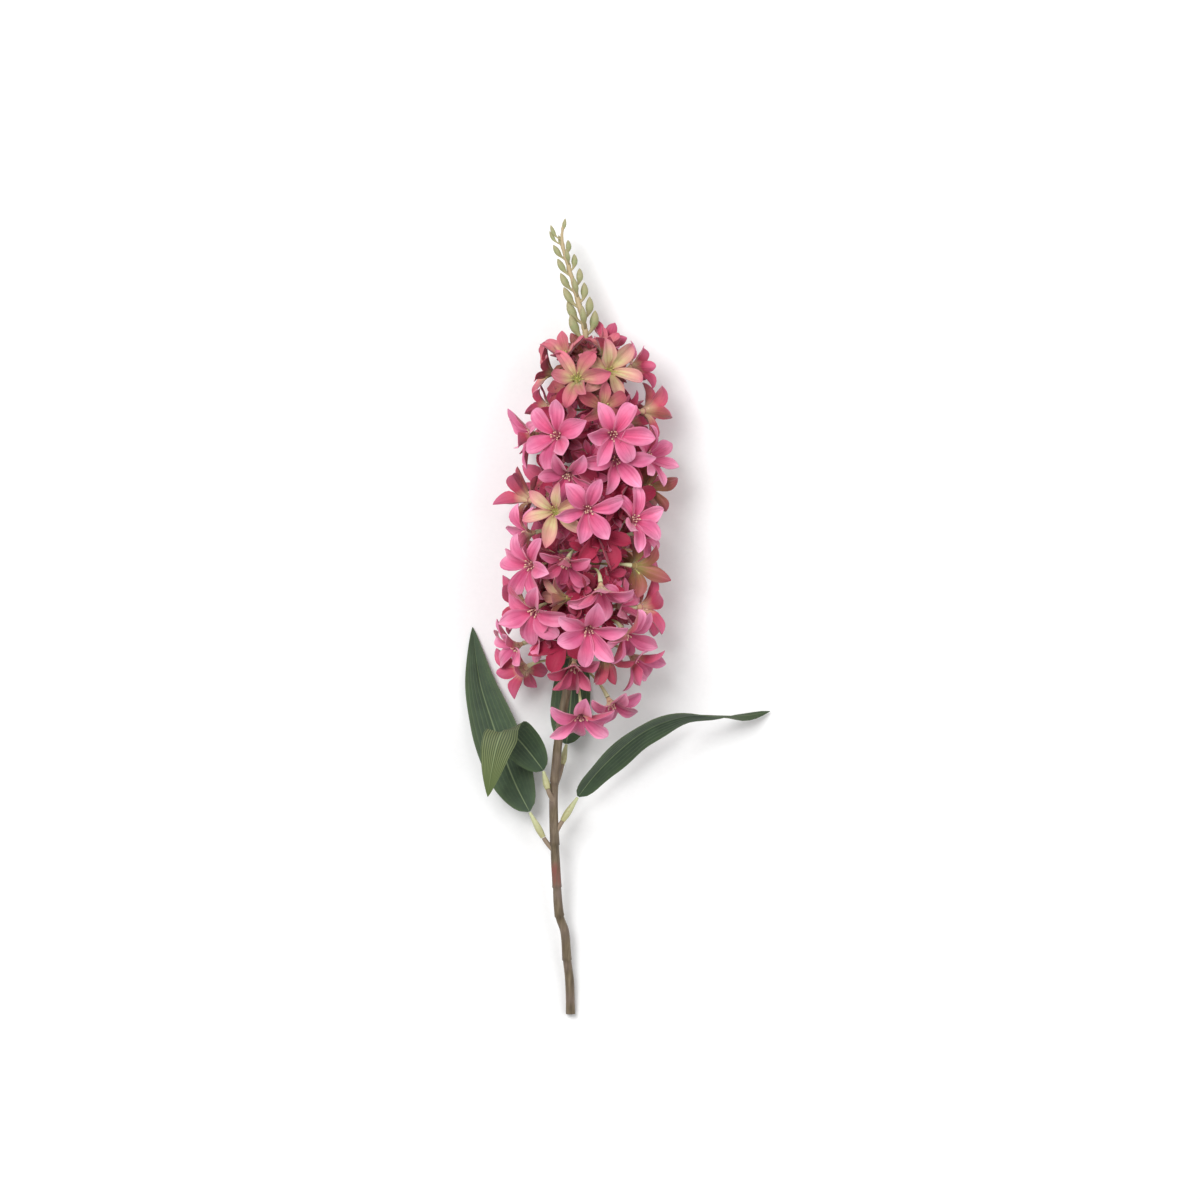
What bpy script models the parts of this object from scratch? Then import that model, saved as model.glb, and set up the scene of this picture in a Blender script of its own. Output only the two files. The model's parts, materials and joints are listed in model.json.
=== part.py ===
"""A stock flower spike of cloth and moulded plastic, lying on a table.

The spike lies along +Y with its tip furthest from its cut end, +X is to its right, and the table
is the plane z = 0. The origin is the middle of the space that the spike takes up on the table.
"""

import itertools
import math
import random
from collections import namedtuple

import bmesh
import bpy
from mathutils import Matrix, Vector
from mathutils.bvhtree import BVHTree

MM = 0.001

# Clearance between two pieces that touch
SEAT_GAP = 0.3 * MM

# The middle of the stem in mm: how far along the spike, across it, and above the table
STEM_LINE_MM = (
    (-271.0, -31.7, 3.1),
    (-248.5, -32.4, 6.0),
    (-233.6, -34.1, 8.4),
    (-214.0, -35.8, 11.8),
    (-203.7, -39.2, 13.6),
    (-184.0, -40.9, 17.0),
    (-155.4, -42.4, 22.0),
    (-123.4, -43.2, 28.0),
    (-101.0, -41.5, 32.0),
    (-78.5, -39.2, 35.6),
    (-56.1, -35.2, 37.6),
    (-35.7, -31.3, 39.2),
    (-18.7, -27.6, 40.0),
    (5.1, -24.5, 40.6),
    (59.5, -20.4, 40.6),
    (93.5, -18.2, 40.0),
    (124.1, -17.0, 38.8),
    (154.7, -17.7, 37.0),
    (178.5, -19.7, 35.2),
    (198.9, -22.4, 34.0),
    (215.2, -26.4, 32.6),
    (241.1, -33.5, 30.3),
    (250.6, -36.6, 29.6),
    (259.4, -37.4, 29.0),
    (268.6, -36.3, 28.6),
)
STEM_LINE = [tuple(v * MM for v in row) for row in STEM_LINE_MM]

# Main stem: a wire-cored tube in lengths that step where one sleeve ends
CUT_END = -271 * MM
HEAD_START = -35 * MM
STEM_RADIUS = 3.05 * MM
STEM_STEP = 0.35 * MM
STEM_JOINTS = [v * MM for v in (-234, -204, -184, -155, -112, -74)]
STEM_RING_EVERY = 18 * MM
STEM_SIDES = 9

# Flower axis: the moulded core of the head, with a stalk to each floret
AXIS_END = 186 * MM
AXIS_RADII = (2.6 * MM, 2.2 * MM)
AXIS_RINGS = 10
AXIS_SIDES = 8
STALK_RADIUS = 0.8 * MM
STALK_FLARE = 1.7 * MM
STALK_FLARE_LENGTH = 5 * MM
STALK_REACH = 16 * MM
STALK_LOWEST = 9 * MM
STALK_HIGHEST = 4 * MM
STALK_SIDES = 3

# Bud tip: the moulded spray of closed buds
TIP_RADII = (2.1 * MM, 1.0 * MM)
TIP_RINGS = 13
TIP_SIDES = 6
BUDS = 18
BUDS_REACH = (188.5 * MM, 250.5 * MM)
BUD_TURNS = (-80, 82, 10, -100, 98, 185)
BUD_LENGTHS = (17 * MM, 10 * MM)
BUD_SPREAD = 0.44
BUD_SLIMNESS = 0.19
BUD_SIDES = 4
BUD_PROFILE = ((0.0, 0.36), (0.34, 0.42), (0.6, 1.0), (0.84, 0.8), (1.0, 0.14))
TOP_BUDS_MM = ((257.0, -96, 10.0, 0.62, 1.5), (253.5, -112, 9.5, 0.72, 1.4), (262.0, 60, 9.5, 0.1, 1.5))

# Florets: six petals that grow from the rim of a small cup
PETALS = 6
CLOTH = 0.7 * MM
CUP_RIM = 2.5 * MM
CUP_FOOT = 1.4 * MM
CUP_DEPTH = 3.6 * MM
PETAL_HALF_WIDTH = 0.22
PETAL_ROWS = ((0.5,), (0.3, 0.66))
PETAL_STEPS = 12
PETAL_CUP = 0.26
PETAL_ROOM = math.tan(math.radians(25))
THROAT_ANGLE = math.radians(32)
TABLE_TOUCH = CLOTH / 2
SEED = 61

# How far the throat of a floret stands from the stem, by place along the spike, in mm
THROAT_RADIUS_MM = (
    (-75, 15),
    (-60, 24),
    (-40, 34),
    (-20, 38),
    (10, 39.5),
    (60, 39),
    (100, 37.5),
    (130, 35),
    (150, 31),
    (165, 26.5),
    (176, 20),
    (186, 13),
    (197, 7),
)
THROAT_RADIUS = [tuple(v * MM for v in row) for row in THROAT_RADIUS_MM]

# The florets that show from above. Each row holds its colour, its place along the spike in mm, its
# turn about the stem from the top in degrees, how far it is pushed out in mm, the way it faces
# (right, up the spike, away from the table), the turn of its petals in degrees, the length of a
# petal in mm, and how wide it is open in degrees, where 90 is flat
SHOWN_FLORETS = (
    ("coral", 180.0, 40, 0, (0.15, 0.9, 0.4), 10, 16, 28),
    ("coral", 176.0, -50, 0, (-0.4, 0.75, 0.5), 25, 19, 44),
    ("pink", 177.0, 95, 2, (0.6, 0.6, -0.3), 0, 18, 56),
    ("cream", 163.5, 34, 3, (0.18, 0.08, 0.95), 33, 26, 84),
    ("coral", 161.0, -18, 0, (-0.1, 0.18, 0.95), 3, 23, 80),
    ("pink", 170.0, 88, 5, (0.75, 0.35, -0.3), 20, 19, 62),
    ("coral", 166.0, -92, 0, (-0.8, 0.3, 0.15), 15, 20, 66),
    ("pink", 146.0, -98, 2, (-0.75, 0.1, -0.45), 40, 22, 70),
    ("coral", 144.5, 16, -9, (0.1, 0.05, 0.95), 50, 19, 70),
    ("pink", 140.0, 92, 2, (0.7, 0.0, -0.5), 10, 22, 70),
    ("pink", 123.5, 21, 4, (0.1, -0.05, 0.97), 0, 27, 86),
    ("pink", 122.5, -38, 2, (-0.4, 0.02, 0.9), 20, 27, 82),
    ("pink", 124.0, -86, 4, (-0.92, -0.1, 0.15), 30, 23, 72),
    ("pink", 104.0, 33, -2, (0.25, -0.15, 0.93), 10, 26, 84),
    ("pink", 109.0, 80, 1, (0.7, 0.05, 0.45), 25, 23, 74),
    ("pink", 97.0, -27, -5, (-0.15, -0.6, 0.7), 45, 22, 62),
    ("cream", 88.0, 96, 0, (0.55, 0.1, -0.7), 5, 24, 72),
    ("pink", 80.0, -95, 2, (-0.65, 0.25, -0.5), 35, 23, 72),
    ("cream", 71.5, -36, 4, (-0.12, 0.03, 0.97), 51, 24, 86),
    ("pink", 73.0, -1, -1, (0.08, -0.2, 0.95), 12, 25, 80),
    ("pink", 66.0, 52, 0, (0.55, 0.1, 0.75), 20, 22, 70),
    ("pink", 57.0, -73, 1, (-0.85, -0.2, 0.3), 15, 23, 72),
    ("pink", 50.0, 78, -6, (0.8, 0.1, 0.45), 0, 20, 64),
    ("pink", 35.0, -60, 2, (-0.6, -0.1, 0.7), 28, 26, 78),
    ("pink", 38.0, -22, -7, (-0.25, -0.55, 0.6), 15, 20, 60),
    ("cream", 35.0, 72, -4, (0.6, -0.1, -0.72), 20, 24, 76),
    ("pink", 20.0, 18, 0, (0.05, -0.88, 0.4), 30, 25, 66),
    ("cream", 20.0, -22, -15, (-0.6, 0.0, 0.1), 0, 19, 48),
    ("pink", 7.0, 92, 1, (0.72, 0.0, -0.5), 40, 23, 74),
    ("pink", 10.0, -104, 1, (-0.8, 0.1, -0.35), 20, 23, 72),
    ("pink", 5.0, -50, 1, (-0.48, -0.4, 0.75), 5, 26, 78),
    ("pink", -7.5, 9, 4, (0.1, -0.5, 0.85), 20, 27, 80),
    ("pink", -10.0, 54, 0, (0.42, -0.65, 0.5), 50, 25, 68),
    ("pink", -19.0, -84, 2, (-0.75, -0.3, 0.35), 30, 23, 70),
    ("pink", -27.0, 86, 3, (0.65, -0.6, 0.25), 12, 24, 68),
    ("pink", -29.0, 4, -9, (0.0, -0.8, 0.5), 35, 22, 62),
    ("coral", -34.0, 43, -8, (0.2, -0.75, -0.25), 0, 20, 58),
    ("pink", -34.0, -101, 1, (-0.5, -0.3, -0.72), 30, 22, 74),
    ("pink", -57.5, 72, 7, (0.35, -0.72, 0.3), 40, 23, 70),
    ("pink", -66.0, 34, 2, (0.02, -0.72, 0.62), 28, 25, 74),
)

# Florets that hardly show: rows that face the table, and rows that fill the spaces inside. A row
# holds its place along the spike in mm, then the turn of each of its florets about the stem
Hidden = namedtuple("Hidden", "tint rows push length open seed")
UNDER = Hidden(
    tint="pink",
    rows=(
        (22, 180),
        (44, -143, 143),
        (66, 180),
        (88, -143, 143),
        (110, 180),
        (132, -143, 143),
        (153, 180),
    ),
    push=1 * MM,
    length=27 * MM,
    open=math.radians(80),
    seed=200,
)
INSIDE = Hidden(
    tint="pink",
    rows=(
        (-24, -24),
        (-8, -72),
        (8, 66, -24),
        (24, -72, 22),
        (56, 22),
        (72, 66, -24),
        (88, 22),
    ),
    push=-17 * MM,
    length=26 * MM,
    open=math.radians(72),
    seed=300,
)
LOWEST_THROAT = 8 * MM
MOST_GROUPS = 49

# The small changes that are tried, in this order, until a floret clears those already placed
SHORTER = (1.0, 0.9, 0.8, 0.7)
SHIFTED = [v * MM for v in (0, 3.5, -3.5, 7, -7)]
PUSHED = [v * MM for v in (0, 2.5, -2.5, 5, -5)]
CLOSED = [math.radians(v) for v in (0, 14)]
TURNED = [math.radians(v) for v in (0, 10, -10, 20, -20, 30)]
CLEARANCE = 0.52 * MM
STALK_CLEARANCE = 0.16 * MM

# Leaves in mm: rows of share along the leaf, then the midrib's place, then the blade's right side
Leaf = namedtuple("Leaf", "name half_width fold rows")
LEAVES = (
    Leaf(
        "leaf_left_long",
        16.4 * MM,
        0.16,
        (
            (0.0, -59.8, -132.0, 21.6, 0.88, 0.45, 0.0),
            (0.13, -68.5, -115.3, 16.8, 0.9, 0.43, 0.05),
            (0.28, -75.9, -97.5, 12.6, 0.92, 0.38, 0.1),
            (0.5, -85.6, -70.5, 8.0, 0.93, 0.34, 0.1),
            (0.73, -94.0, -42.5, 4.6, 0.96, 0.25, 0.05),
            (1.0, -98.8, -6.5, 1.3, 0.98, 0.1, 0.0),
        ),
    ),
    Leaf(
        "leaf_left_folded",
        13.2 * MM,
        0.1,
        (
            (0.0, -50.2, -103.9, 29.4, 0.66, 0.74, 0.1),
            (0.14, -58.0, -93.6, 32.0, 0.68, 0.72, 0.1),
            (0.27, -65.4, -84.6, 36.6, 0.76, 0.63, 0.1),
            (0.39, -72.2, -77.6, 45.0, 0.88, 0.46, 0.02),
            (0.48, -77.4, -77.6, 52.6, 0.95, 0.3, 0.0),
            (0.58, -81.4, -87.0, 55.2, 0.98, 0.16, 0.06),
            (0.78, -85.0, -104.0, 52.6, 0.98, -0.02, 0.12),
            (1.0, -87.6, -121.4, 46.0, 0.96, -0.2, 0.15),
        ),
    ),
    Leaf(
        "leaf_right",
        14.6 * MM,
        0.2,
        (
            (0.0, -26.4, -121.8, 27.2, 0.55, -0.48, -0.68),
            (0.12, -15.0, -107.4, 30.6, 0.44, -0.4, -0.8),
            (0.26, -1.6, -93.6, 33.6, 0.42, -0.38, -0.82),
            (0.4, 13.6, -81.0, 35.4, 0.36, -0.42, -0.83),
            (0.52, 28.6, -72.8, 34.4, 0.25, -0.45, -0.86),
            (0.66, 48.6, -67.4, 28.8, 0.1, -0.3, -0.93),
            (0.8, 71.6, -67.6, 19.6, -0.1, -0.04, -1.0),
            (0.9, 88.4, -67.6, 11.0, -0.1, 0.55, -0.85),
            (1.0, 104.7, -64.3, 1.9, 0.1, 0.9, -0.3),
        ),
    ),
    Leaf(
        "leaf_under_stem",
        13.4 * MM,
        0.0,
        (
            (0.0, -34.4, -86.0, 18.6, 1.0, 0.0, 0.0),
            (0.18, -33.0, -72.0, 11.8, 1.0, 0.0, 0.0),
            (0.36, -31.6, -56.0, 5.0, 1.0, 0.0, 0.0),
            (0.52, -30.4, -42.0, 0.6, 1.0, 0.0, 0.0),
            (0.6, -29.9, -35.0, 0.0, 1.0, 0.0, 0.0),
            (0.8, -28.6, -17.0, 0.0, 1.0, 0.0, 0.0),
            (1.0, -27.4, 1.0, 0.0, 1.0, 0.0, 0.0),
        ),
    ),
)
LEAF_THICKNESS = 0.8 * MM
LEAF_ROWS = 11
LEAF_BASE = 1.1 * MM

# Collars: the pale swollen sleeves that hold the leaves. In mm: a point inside the stem, where the
# stem's stub ends, and where the leaf starts
Collar = namedtuple("Collar", "name root stub_end leaf_start")
COLLARS = (
    Collar("collar_left_long", (-42.0, -160, 21.2), (-50.0, -150.0, 21.5), (-59.8, -132.0, 21.6)),
    Collar("collar_left_folded", (-43.2, -125, 28.4), (-46.9, -117.0, 33.6), (-50.2, -103.9, 29.4)),
    Collar("collar_right", (-42.4, -147, 23.4), (-37.2, -138.6, 25.2), (-26.4, -121.8, 27.2)),
    Collar("collar_under_stem", (-42.4, -116, 29.0), (-37.4, -100.5, 24.6), (-34.4, -86.0, 18.6)),
)
STUB_RADII = (1.9 * MM, 1.5 * MM)
STUB_SIDES = 6
COLLAR_PROFILE = ((0.0, 1.75), (0.3, 2.35), (0.6, 1.9), (0.85, 1.25), (1.0, 1.0))
COLLAR_SIDES = 8
COLLAR_LEAF_GAP = 0.8 * MM

Finish = namedtuple("Finish", "colour roughness")
FINISHES = {
    "stem_green": Finish((0.24, 0.19, 0.11), 0.62),
    "axis_green": Finish((0.42, 0.38, 0.17), 0.6),
    "collar_green": Finish((0.56, 0.62, 0.28), 0.5),
    "bud_green": Finish((0.43, 0.47, 0.27), 0.55),
    "leaf_green": Finish((0.06, 0.14, 0.07), 0.5),
    "petal_pink": Finish((0.74, 0.18, 0.36), 0.75),
    "petal_coral": Finish((0.74, 0.26, 0.28), 0.75),
    "petal_cream": Finish((0.72, 0.5, 0.34), 0.75),
}

Floret = namedtuple("Floret", "tint along turn push face roll length open seed shown")
Station = namedtuple("Station", "point ahead side front reach", defaults=(0.0,))


def values_at(rows, place):
    """The values that rows give at a place, on a smooth curve. A row is a place and its values."""
    first = min(sum(row[0] < place for row in rows[1:]), len(rows) - 2)
    start, end = rows[first], rows[first + 1]
    span = end[0] - start[0]
    part = min(max((place - start[0]) / span, 0.0), 1.0)

    def slope(row, column):
        before = rows[max(row - 1, 0)]
        after = rows[min(row + 1, len(rows) - 1)]
        return (after[column] - before[column]) / (after[0] - before[0])

    found = []
    for column in range(1, len(start)):
        leave = slope(first, column) * span
        arrive = slope(first + 1, column) * span
        rise = end[column] - start[column]
        bend = part * (1 - part) * ((1 - part) * (leave - rise) + part * (rise - arrive))
        found.append(start[column] + part * rise + bend)
    return found


def stem_point(along):
    """The middle of the stem at a place along the spike."""
    across, height = values_at(STEM_LINE, along)
    return Vector((across, along, height))


def stem_direction(along):
    """The way the stem runs there, towards its tip."""
    return (stem_point(along + MM) - stem_point(along - MM)).normalized()


def ring(mesh, point, direction, radius, sides, closed=False):
    """A circle of edges across a direction, with a face in it where a tube ends."""
    turn = direction.to_track_quat("Z", "Y").to_matrix().to_4x4()
    made = bmesh.ops.create_circle(
        mesh,
        cap_ends=closed,
        radius=radius,
        segments=sides,
        matrix=Matrix.Translation(point) @ turn,
    )
    around = set(made["verts"])
    return [e for e in mesh.edges if around.issuperset(e.verts)]


def tube(stations, sides):
    """A closed tube through stations of point, direction and radius, as a bmesh."""
    mesh = bmesh.new()
    last = len(stations) - 1
    rings = [
        ring(mesh, *station, sides, closed=index in (0, last))
        for index, station in enumerate(stations)
    ]
    for first, second in zip(rings, rings[1:]):
        bmesh.ops.bridge_loops(mesh, edges=first + second)
    bmesh.ops.triangulate(mesh, faces=mesh.faces)
    bmesh.ops.recalc_face_normals(mesh, faces=mesh.faces)
    return mesh


def along_bezier(start, leave, arrive, end, shares):
    """Points and directions on a cubic Bezier curve."""
    found = []
    for share in shares:
        rest = 1 - share
        point = (
            start * rest**3 + leave * 3 * rest**2 * share + arrive * 3 * rest * share**2 + end * share**3
        )
        ahead = (
            (leave - start) * rest**2 + (arrive - leave) * 2 * rest * share + (end - arrive) * share**2
        )
        found.append((point, ahead.normalized()))
    return found


# Main stem and collars


def stem_radius(along):
    """Each length of the stem is widest just above its joint and narrows to the next one."""
    ends = [CUT_END, *STEM_JOINTS, HEAD_START]
    index = max(i for i, end in enumerate(ends[:-1]) if along >= end)
    share = (along - ends[index]) / (ends[index + 1] - ends[index])
    return STEM_RADIUS + STEM_STEP * (0.5 - share)


def stem_places():
    """Where the stem has a ring: two at each joint, and even steps between joints."""
    ends = [CUT_END, *STEM_JOINTS, HEAD_START]
    places = []
    for start, end in zip(ends, ends[1:]):
        steps = max(1, round((end - start) / STEM_RING_EVERY))
        low = start + (SEAT_GAP if start in STEM_JOINTS else 0)
        high = end - SEAT_GAP
        places += [low + (high - low) * step / steps for step in range(steps + 1)]
    return places


def main_stem(extra=0.0):
    """The stem from its cut end to the head. Its cut end rests on the table."""
    stations = [(stem_point(y), stem_direction(y), stem_radius(y) + extra) for y in stem_places()]
    mesh = tube(stations, STEM_SIDES)
    for vert in mesh.verts:
        vert.co.z = max(vert.co.z, 0.0)
    return mesh


def collar_line(collar):
    """Where a collar starts and ends, clear of its stub and of its leaf, and the way it runs."""
    low, high = Vector(collar.stub_end) * MM, Vector(collar.leaf_start) * MM
    ahead = (high - low).normalized()
    return low + ahead * SEAT_GAP, high - ahead * COLLAR_LEAF_GAP, ahead


def stub(collar):
    """The stem's own short branch that a collar is pushed on."""
    root, end = Vector(collar.root) * MM, Vector(collar.stub_end) * MM
    ahead = collar_line(collar)[2]
    middle = end - ahead * (end - root).length * 0.45
    stations = [
        (root, (middle - root).normalized(), STUB_RADII[0]),
        (middle, ((middle - root).normalized() + ahead).normalized(), sum(STUB_RADII) / 2),
        (end, ahead, STUB_RADII[1]),
    ]
    return tube(stations, STUB_SIDES)


def collar_sleeve(collar):
    """A sleeve that swells below its middle and narrows to the leaf."""
    low, high, ahead = collar_line(collar)
    stations = [
        (low.lerp(high, share), ahead, radius * MM) for share, radius in COLLAR_PROFILE
    ]
    return tube(stations, COLLAR_SIDES)


# Leaves


def leaf_width(leaf, share):
    """Half the blade's width: it widens fast from its base and narrows slowly to its tip."""
    swell = math.sin(math.pi * share**0.62) ** 0.8 if 0 < share < 1 else 0
    return max(leaf.half_width * swell, LEAF_BASE * (1 - share))


def leaf_station(leaf, share):
    """The midrib's place, its direction, the blade's right side and its front at a share."""
    *place, right, up, near = values_at(leaf.rows, share)
    after = Vector(values_at(leaf.rows, min(share + 0.01, 1))[:3])
    before = Vector(values_at(leaf.rows, max(share - 0.01, 0))[:3])
    ahead = (after - before).normalized()
    side = Vector((right, up, near))
    side = (side - ahead * side.dot(ahead)).normalized()
    return Station(Vector(place) * MM, ahead, side, side.cross(ahead))


def leaf_point(leaf, share, across):
    """A point of the blade. Its two halves rise a little from the midrib."""
    station = leaf_station(leaf, share)
    out = leaf_width(leaf, share) * across
    point = station.point + station.side * out + station.front * abs(out) * leaf.fold
    point.z = max(point.z, LEAF_THICKNESS / 2)
    return point


def leaf_sheet(leaf):
    """The blade as an open sheet, four strips wide, that starts narrow and ends in a point."""
    sheet = bmesh.new()
    shares = [(row / LEAF_ROWS) ** 1.25 for row in range(LEAF_ROWS)]
    acrosses = (-1, -0.5, 0, 0.5, 1)
    rows = [
        [sheet.verts.new(leaf_point(leaf, share, across)) for across in acrosses]
        for share in shares
    ]
    tip = sheet.verts.new(leaf_point(leaf, 1, 0))
    for low, high in zip(rows, rows[1:]):
        for left in range(len(acrosses) - 1):
            sheet.faces.new((low[left], high[left], high[left + 1]))
            sheet.faces.new((low[left], high[left + 1], low[left + 1]))
    for left in range(len(acrosses) - 1):
        sheet.faces.new((rows[-1][left], tip, rows[-1][left + 1]))
    return sheet


# Florets


def throat(floret):
    """Where the petals of a floret meet, at its distance from the stem."""
    centre = stem_point(floret.along)
    (radius,) = values_at(THROAT_RADIUS, floret.along)
    radius += floret.push
    out = Vector((math.sin(floret.turn), 0, math.cos(floret.turn)))
    point = centre + out * radius
    point.z = max(point.z, LOWEST_THROAT)
    return point


def floret_frame(floret):
    """The floret's own axes as a matrix: +Z is the way it faces and +X is to its right."""
    facing = Vector(floret.face).normalized()
    right = Vector((facing.z, 0, -facing.x)).normalized()
    turn = Matrix((right, facing.cross(right), facing)).transposed()
    return Matrix.Translation(throat(floret)) @ turn.to_4x4()


def petal_spine(floret, frame, index):
    """Stations along a petal's midrib, which leaves the cup steeply, opens and bends at its tip.

    Where it would go through the table, it turns and lies on it."""
    draw = random.Random(floret.seed * PETALS + index)
    angle = floret.roll + math.tau * index / PETALS + math.radians(draw.uniform(-3, 3))
    widest = floret.open + math.radians(draw.uniform(-6, 6) + 4 * (-1) ** index)
    tip_bend = math.radians(draw.uniform(4, 26))
    length = floret.length * draw.uniform(0.94, 1.05)
    twist = math.radians(draw.uniform(-11, 11))
    turn = frame.to_3x3()
    out = turn @ Vector((math.cos(angle), math.sin(angle), 0))
    around = turn @ Vector((-math.sin(angle), math.cos(angle), 0))
    facing = turn @ Vector((0, 0, 1))
    point = frame.translation + out * CUP_RIM
    stations = []
    for step in range(PETAL_STEPS + 1):
        share = step / PETAL_STEPS
        lean = widest - (widest - THROAT_ANGLE) * math.exp(-share * 6) + tip_bend * share**2
        ahead = out * math.sin(lean) + facing * math.cos(lean)
        front = around.cross(ahead) * -1
        side = around * math.cos(twist * share) + front * math.sin(twist * share)
        step_length = length / PETAL_STEPS
        if point.z + ahead.z * step_length < TABLE_TOUCH:
            ahead = Vector((ahead.x, ahead.y, 0)).normalized()
            side = Vector((-ahead.y, ahead.x, 0)) * (1 if side.dot((-ahead.y, ahead.x, 0)) > 0 else -1)
        front = ahead.cross(side)
        from_middle = point - frame.translation
        reach = (from_middle - facing * from_middle.dot(facing)).length
        stations.append(Station(point.copy(), ahead, side, front, reach))
        point += ahead * step_length
    return stations


def petal_width(length, share):
    """Half the petal's width: an egg shape, widest past its middle, with a small point."""
    swell = math.sin(math.pi * share**1.15) ** 0.78 if 0 < share < 1 else 0
    return length * PETAL_HALF_WIDTH * swell + CUP_RIM * 0.5 * (1 - share)


def petal_point(floret, spine, share, across):
    """A point of the petal. Its edges rise a little towards its front."""
    place = share * PETAL_STEPS
    index = min(int(place), PETAL_STEPS - 1)
    low, high, part = spine[index], spine[index + 1], place - index
    side = low.side.lerp(high.side, part)
    front = low.front.lerp(high.front, part)
    reach = low.reach + (high.reach - low.reach) * part
    out = min(petal_width(floret.length, share), reach * PETAL_ROOM) * across
    point = low.point.lerp(high.point, part) + side * out + front * abs(out) * PETAL_CUP * abs(across)
    point.z = max(point.z, TABLE_TOUCH)
    return point


def corolla_sheet(floret):
    """The floret's cloth as one open sheet: a cup on a small flat foot, and petals on its rim."""
    sheet = bmesh.new()
    frame = floret_frame(floret)

    def circle(radius, height, corners):
        angles = [floret.roll + math.tau * (index + 0.5) / corners for index in range(corners)]
        return [
            sheet.verts.new(frame @ Vector((radius * math.cos(a), radius * math.sin(a), height)))
            for a in angles
        ]

    rim, foot = circle(CUP_RIM, 0, PETALS), circle(CUP_FOOT, -CUP_DEPTH, PETALS // 2)
    sheet.faces.new(foot)
    for index in range(PETALS):
        left, right = rim[index - 1], rim[index]
        corner = foot[index // 2]
        sheet.faces.new((corner, left, right))
        if index % 2:
            sheet.faces.new((corner, right, foot[(index // 2 + 1) % len(foot)]))
        spine = petal_spine(floret, frame, index)
        rows = [
            [sheet.verts.new(petal_point(floret, spine, share, across)) for across in (-1, 0, 1)]
            for share in PETAL_ROWS[floret.shown]
        ]
        tip = sheet.verts.new(petal_point(floret, spine, 1, 0))
        sheet.faces.new((left, rows[0][0], rows[0][1]))
        sheet.faces.new((left, rows[0][1], right))
        sheet.faces.new((right, rows[0][1], rows[0][2]))
        for low, high in zip(rows, rows[1:]):
            sheet.faces.new((low[0], high[0], high[1]))
            sheet.faces.new((low[0], high[1], low[1]))
            sheet.faces.new((low[1], high[1], low[2]))
            sheet.faces.new((high[1], high[2], low[2]))
        sheet.faces.new((rows[-1][0], tip, rows[-1][1]))
        sheet.faces.new((rows[-1][1], tip, rows[-1][2]))
    bmesh.ops.triangulate(sheet, faces=[f for f in sheet.faces if len(f.verts) > 3])
    return sheet


def stalk(floret, extra=0.0):
    """The stalk from inside the flower axis to the foot of the floret's cup, where it flares."""
    frame = floret_frame(floret)
    facing = frame.to_3x3() @ Vector((0, 0, 1))
    end = frame @ Vector((0, 0, -CUP_DEPTH - CLOTH / 2 - SEAT_GAP - extra))
    low, high = HEAD_START + STALK_LOWEST, AXIS_END - STALK_HIGHEST
    root = stem_point(min(max(floret.along - facing.y * STALK_REACH, low), high))
    reach = (end - root).length
    leave = root.lerp(end, 0.35)
    arrive = end - facing * reach * 0.4
    flare = 1 - STALK_FLARE_LENGTH / max(reach, 2 * STALK_FLARE_LENGTH)
    curve = along_bezier(root, leave, arrive, end, (0, 0.5 * flare, flare, 1))
    radii = (STALK_RADIUS, STALK_RADIUS, STALK_RADIUS, STALK_FLARE)
    stations = [(point, ahead, radius + extra) for (point, ahead), radius in zip(curve, radii)]
    return tube(stations, STALK_SIDES)


def shell(sheet, gap):
    """The points and faces of a sheet grown by a gap to both of its sides."""
    sheet.normal_update()
    sheet.verts.index_update()
    faces = [[v.index for v in f.verts] for f in sheet.faces]
    count = len(sheet.verts)
    faces += [[i + count for i in face] for face in faces]
    borders = [[v.index for v in e.verts] for e in sheet.edges if e.is_boundary]
    faces += [[start, end, end + count, start + count] for start, end in borders]
    points = [v.co + v.normal * gap for v in sheet.verts] + [v.co - v.normal * gap for v in sheet.verts]
    return points, faces


def sheet_tree(sheet, gap):
    """A search tree of a grown sheet."""
    return BVHTree.FromPolygons(*shell(sheet, gap))


def crosses_itself(sheet):
    """Whether the thickened sheet would cross itself, or nearly so."""
    points, faces = shell(sheet, CLOTH * 0.56)
    tree = BVHTree.FromPolygons(points, faces)
    corners = [set(face) for face in faces]
    return any(not corners[one] & corners[other] for one, other in tree.overlap(tree))


def shown_florets():
    """The florets that show from above."""
    for row, (tint, along, turn, push, face, roll, length, widest) in enumerate(SHOWN_FLORETS):
        yield Floret(
            tint,
            along * MM,
            math.radians(turn),
            push * MM,
            face,
            math.radians(roll),
            length * MM,
            math.radians(widest),
            SEED + row,
            True,
        )


def hidden_florets(hidden):
    """Rows of florets along the spike that face away from the stem."""
    for row, (along, *turns) in enumerate(hidden.rows):
        for turn in turns:
            angle = math.radians(turn)
            yield Floret(
                hidden.tint,
                along * MM,
                angle,
                hidden.push,
                (math.sin(angle), 0.12 * (-1) ** row, math.cos(angle)),
                math.radians(17 * row),
                hidden.length,
                hidden.open,
                hidden.seed + row,
                False,
            )


def small_changes(floret):
    """The floret as planned, then with shorter or less open petals, or moved or turned a little."""
    for shorter, shifted, closed in itertools.product(SHORTER, SHIFTED, CLOSED):
        for pushed, (draw, turned) in itertools.product(PUSHED, enumerate(TURNED)):
            yield floret._replace(
                length=floret.length * shorter,
                along=floret.along + shifted,
                open=floret.open - closed,
                push=floret.push + pushed,
                roll=floret.roll + turned,
                seed=floret.seed + 1000 * draw,
            )


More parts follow.
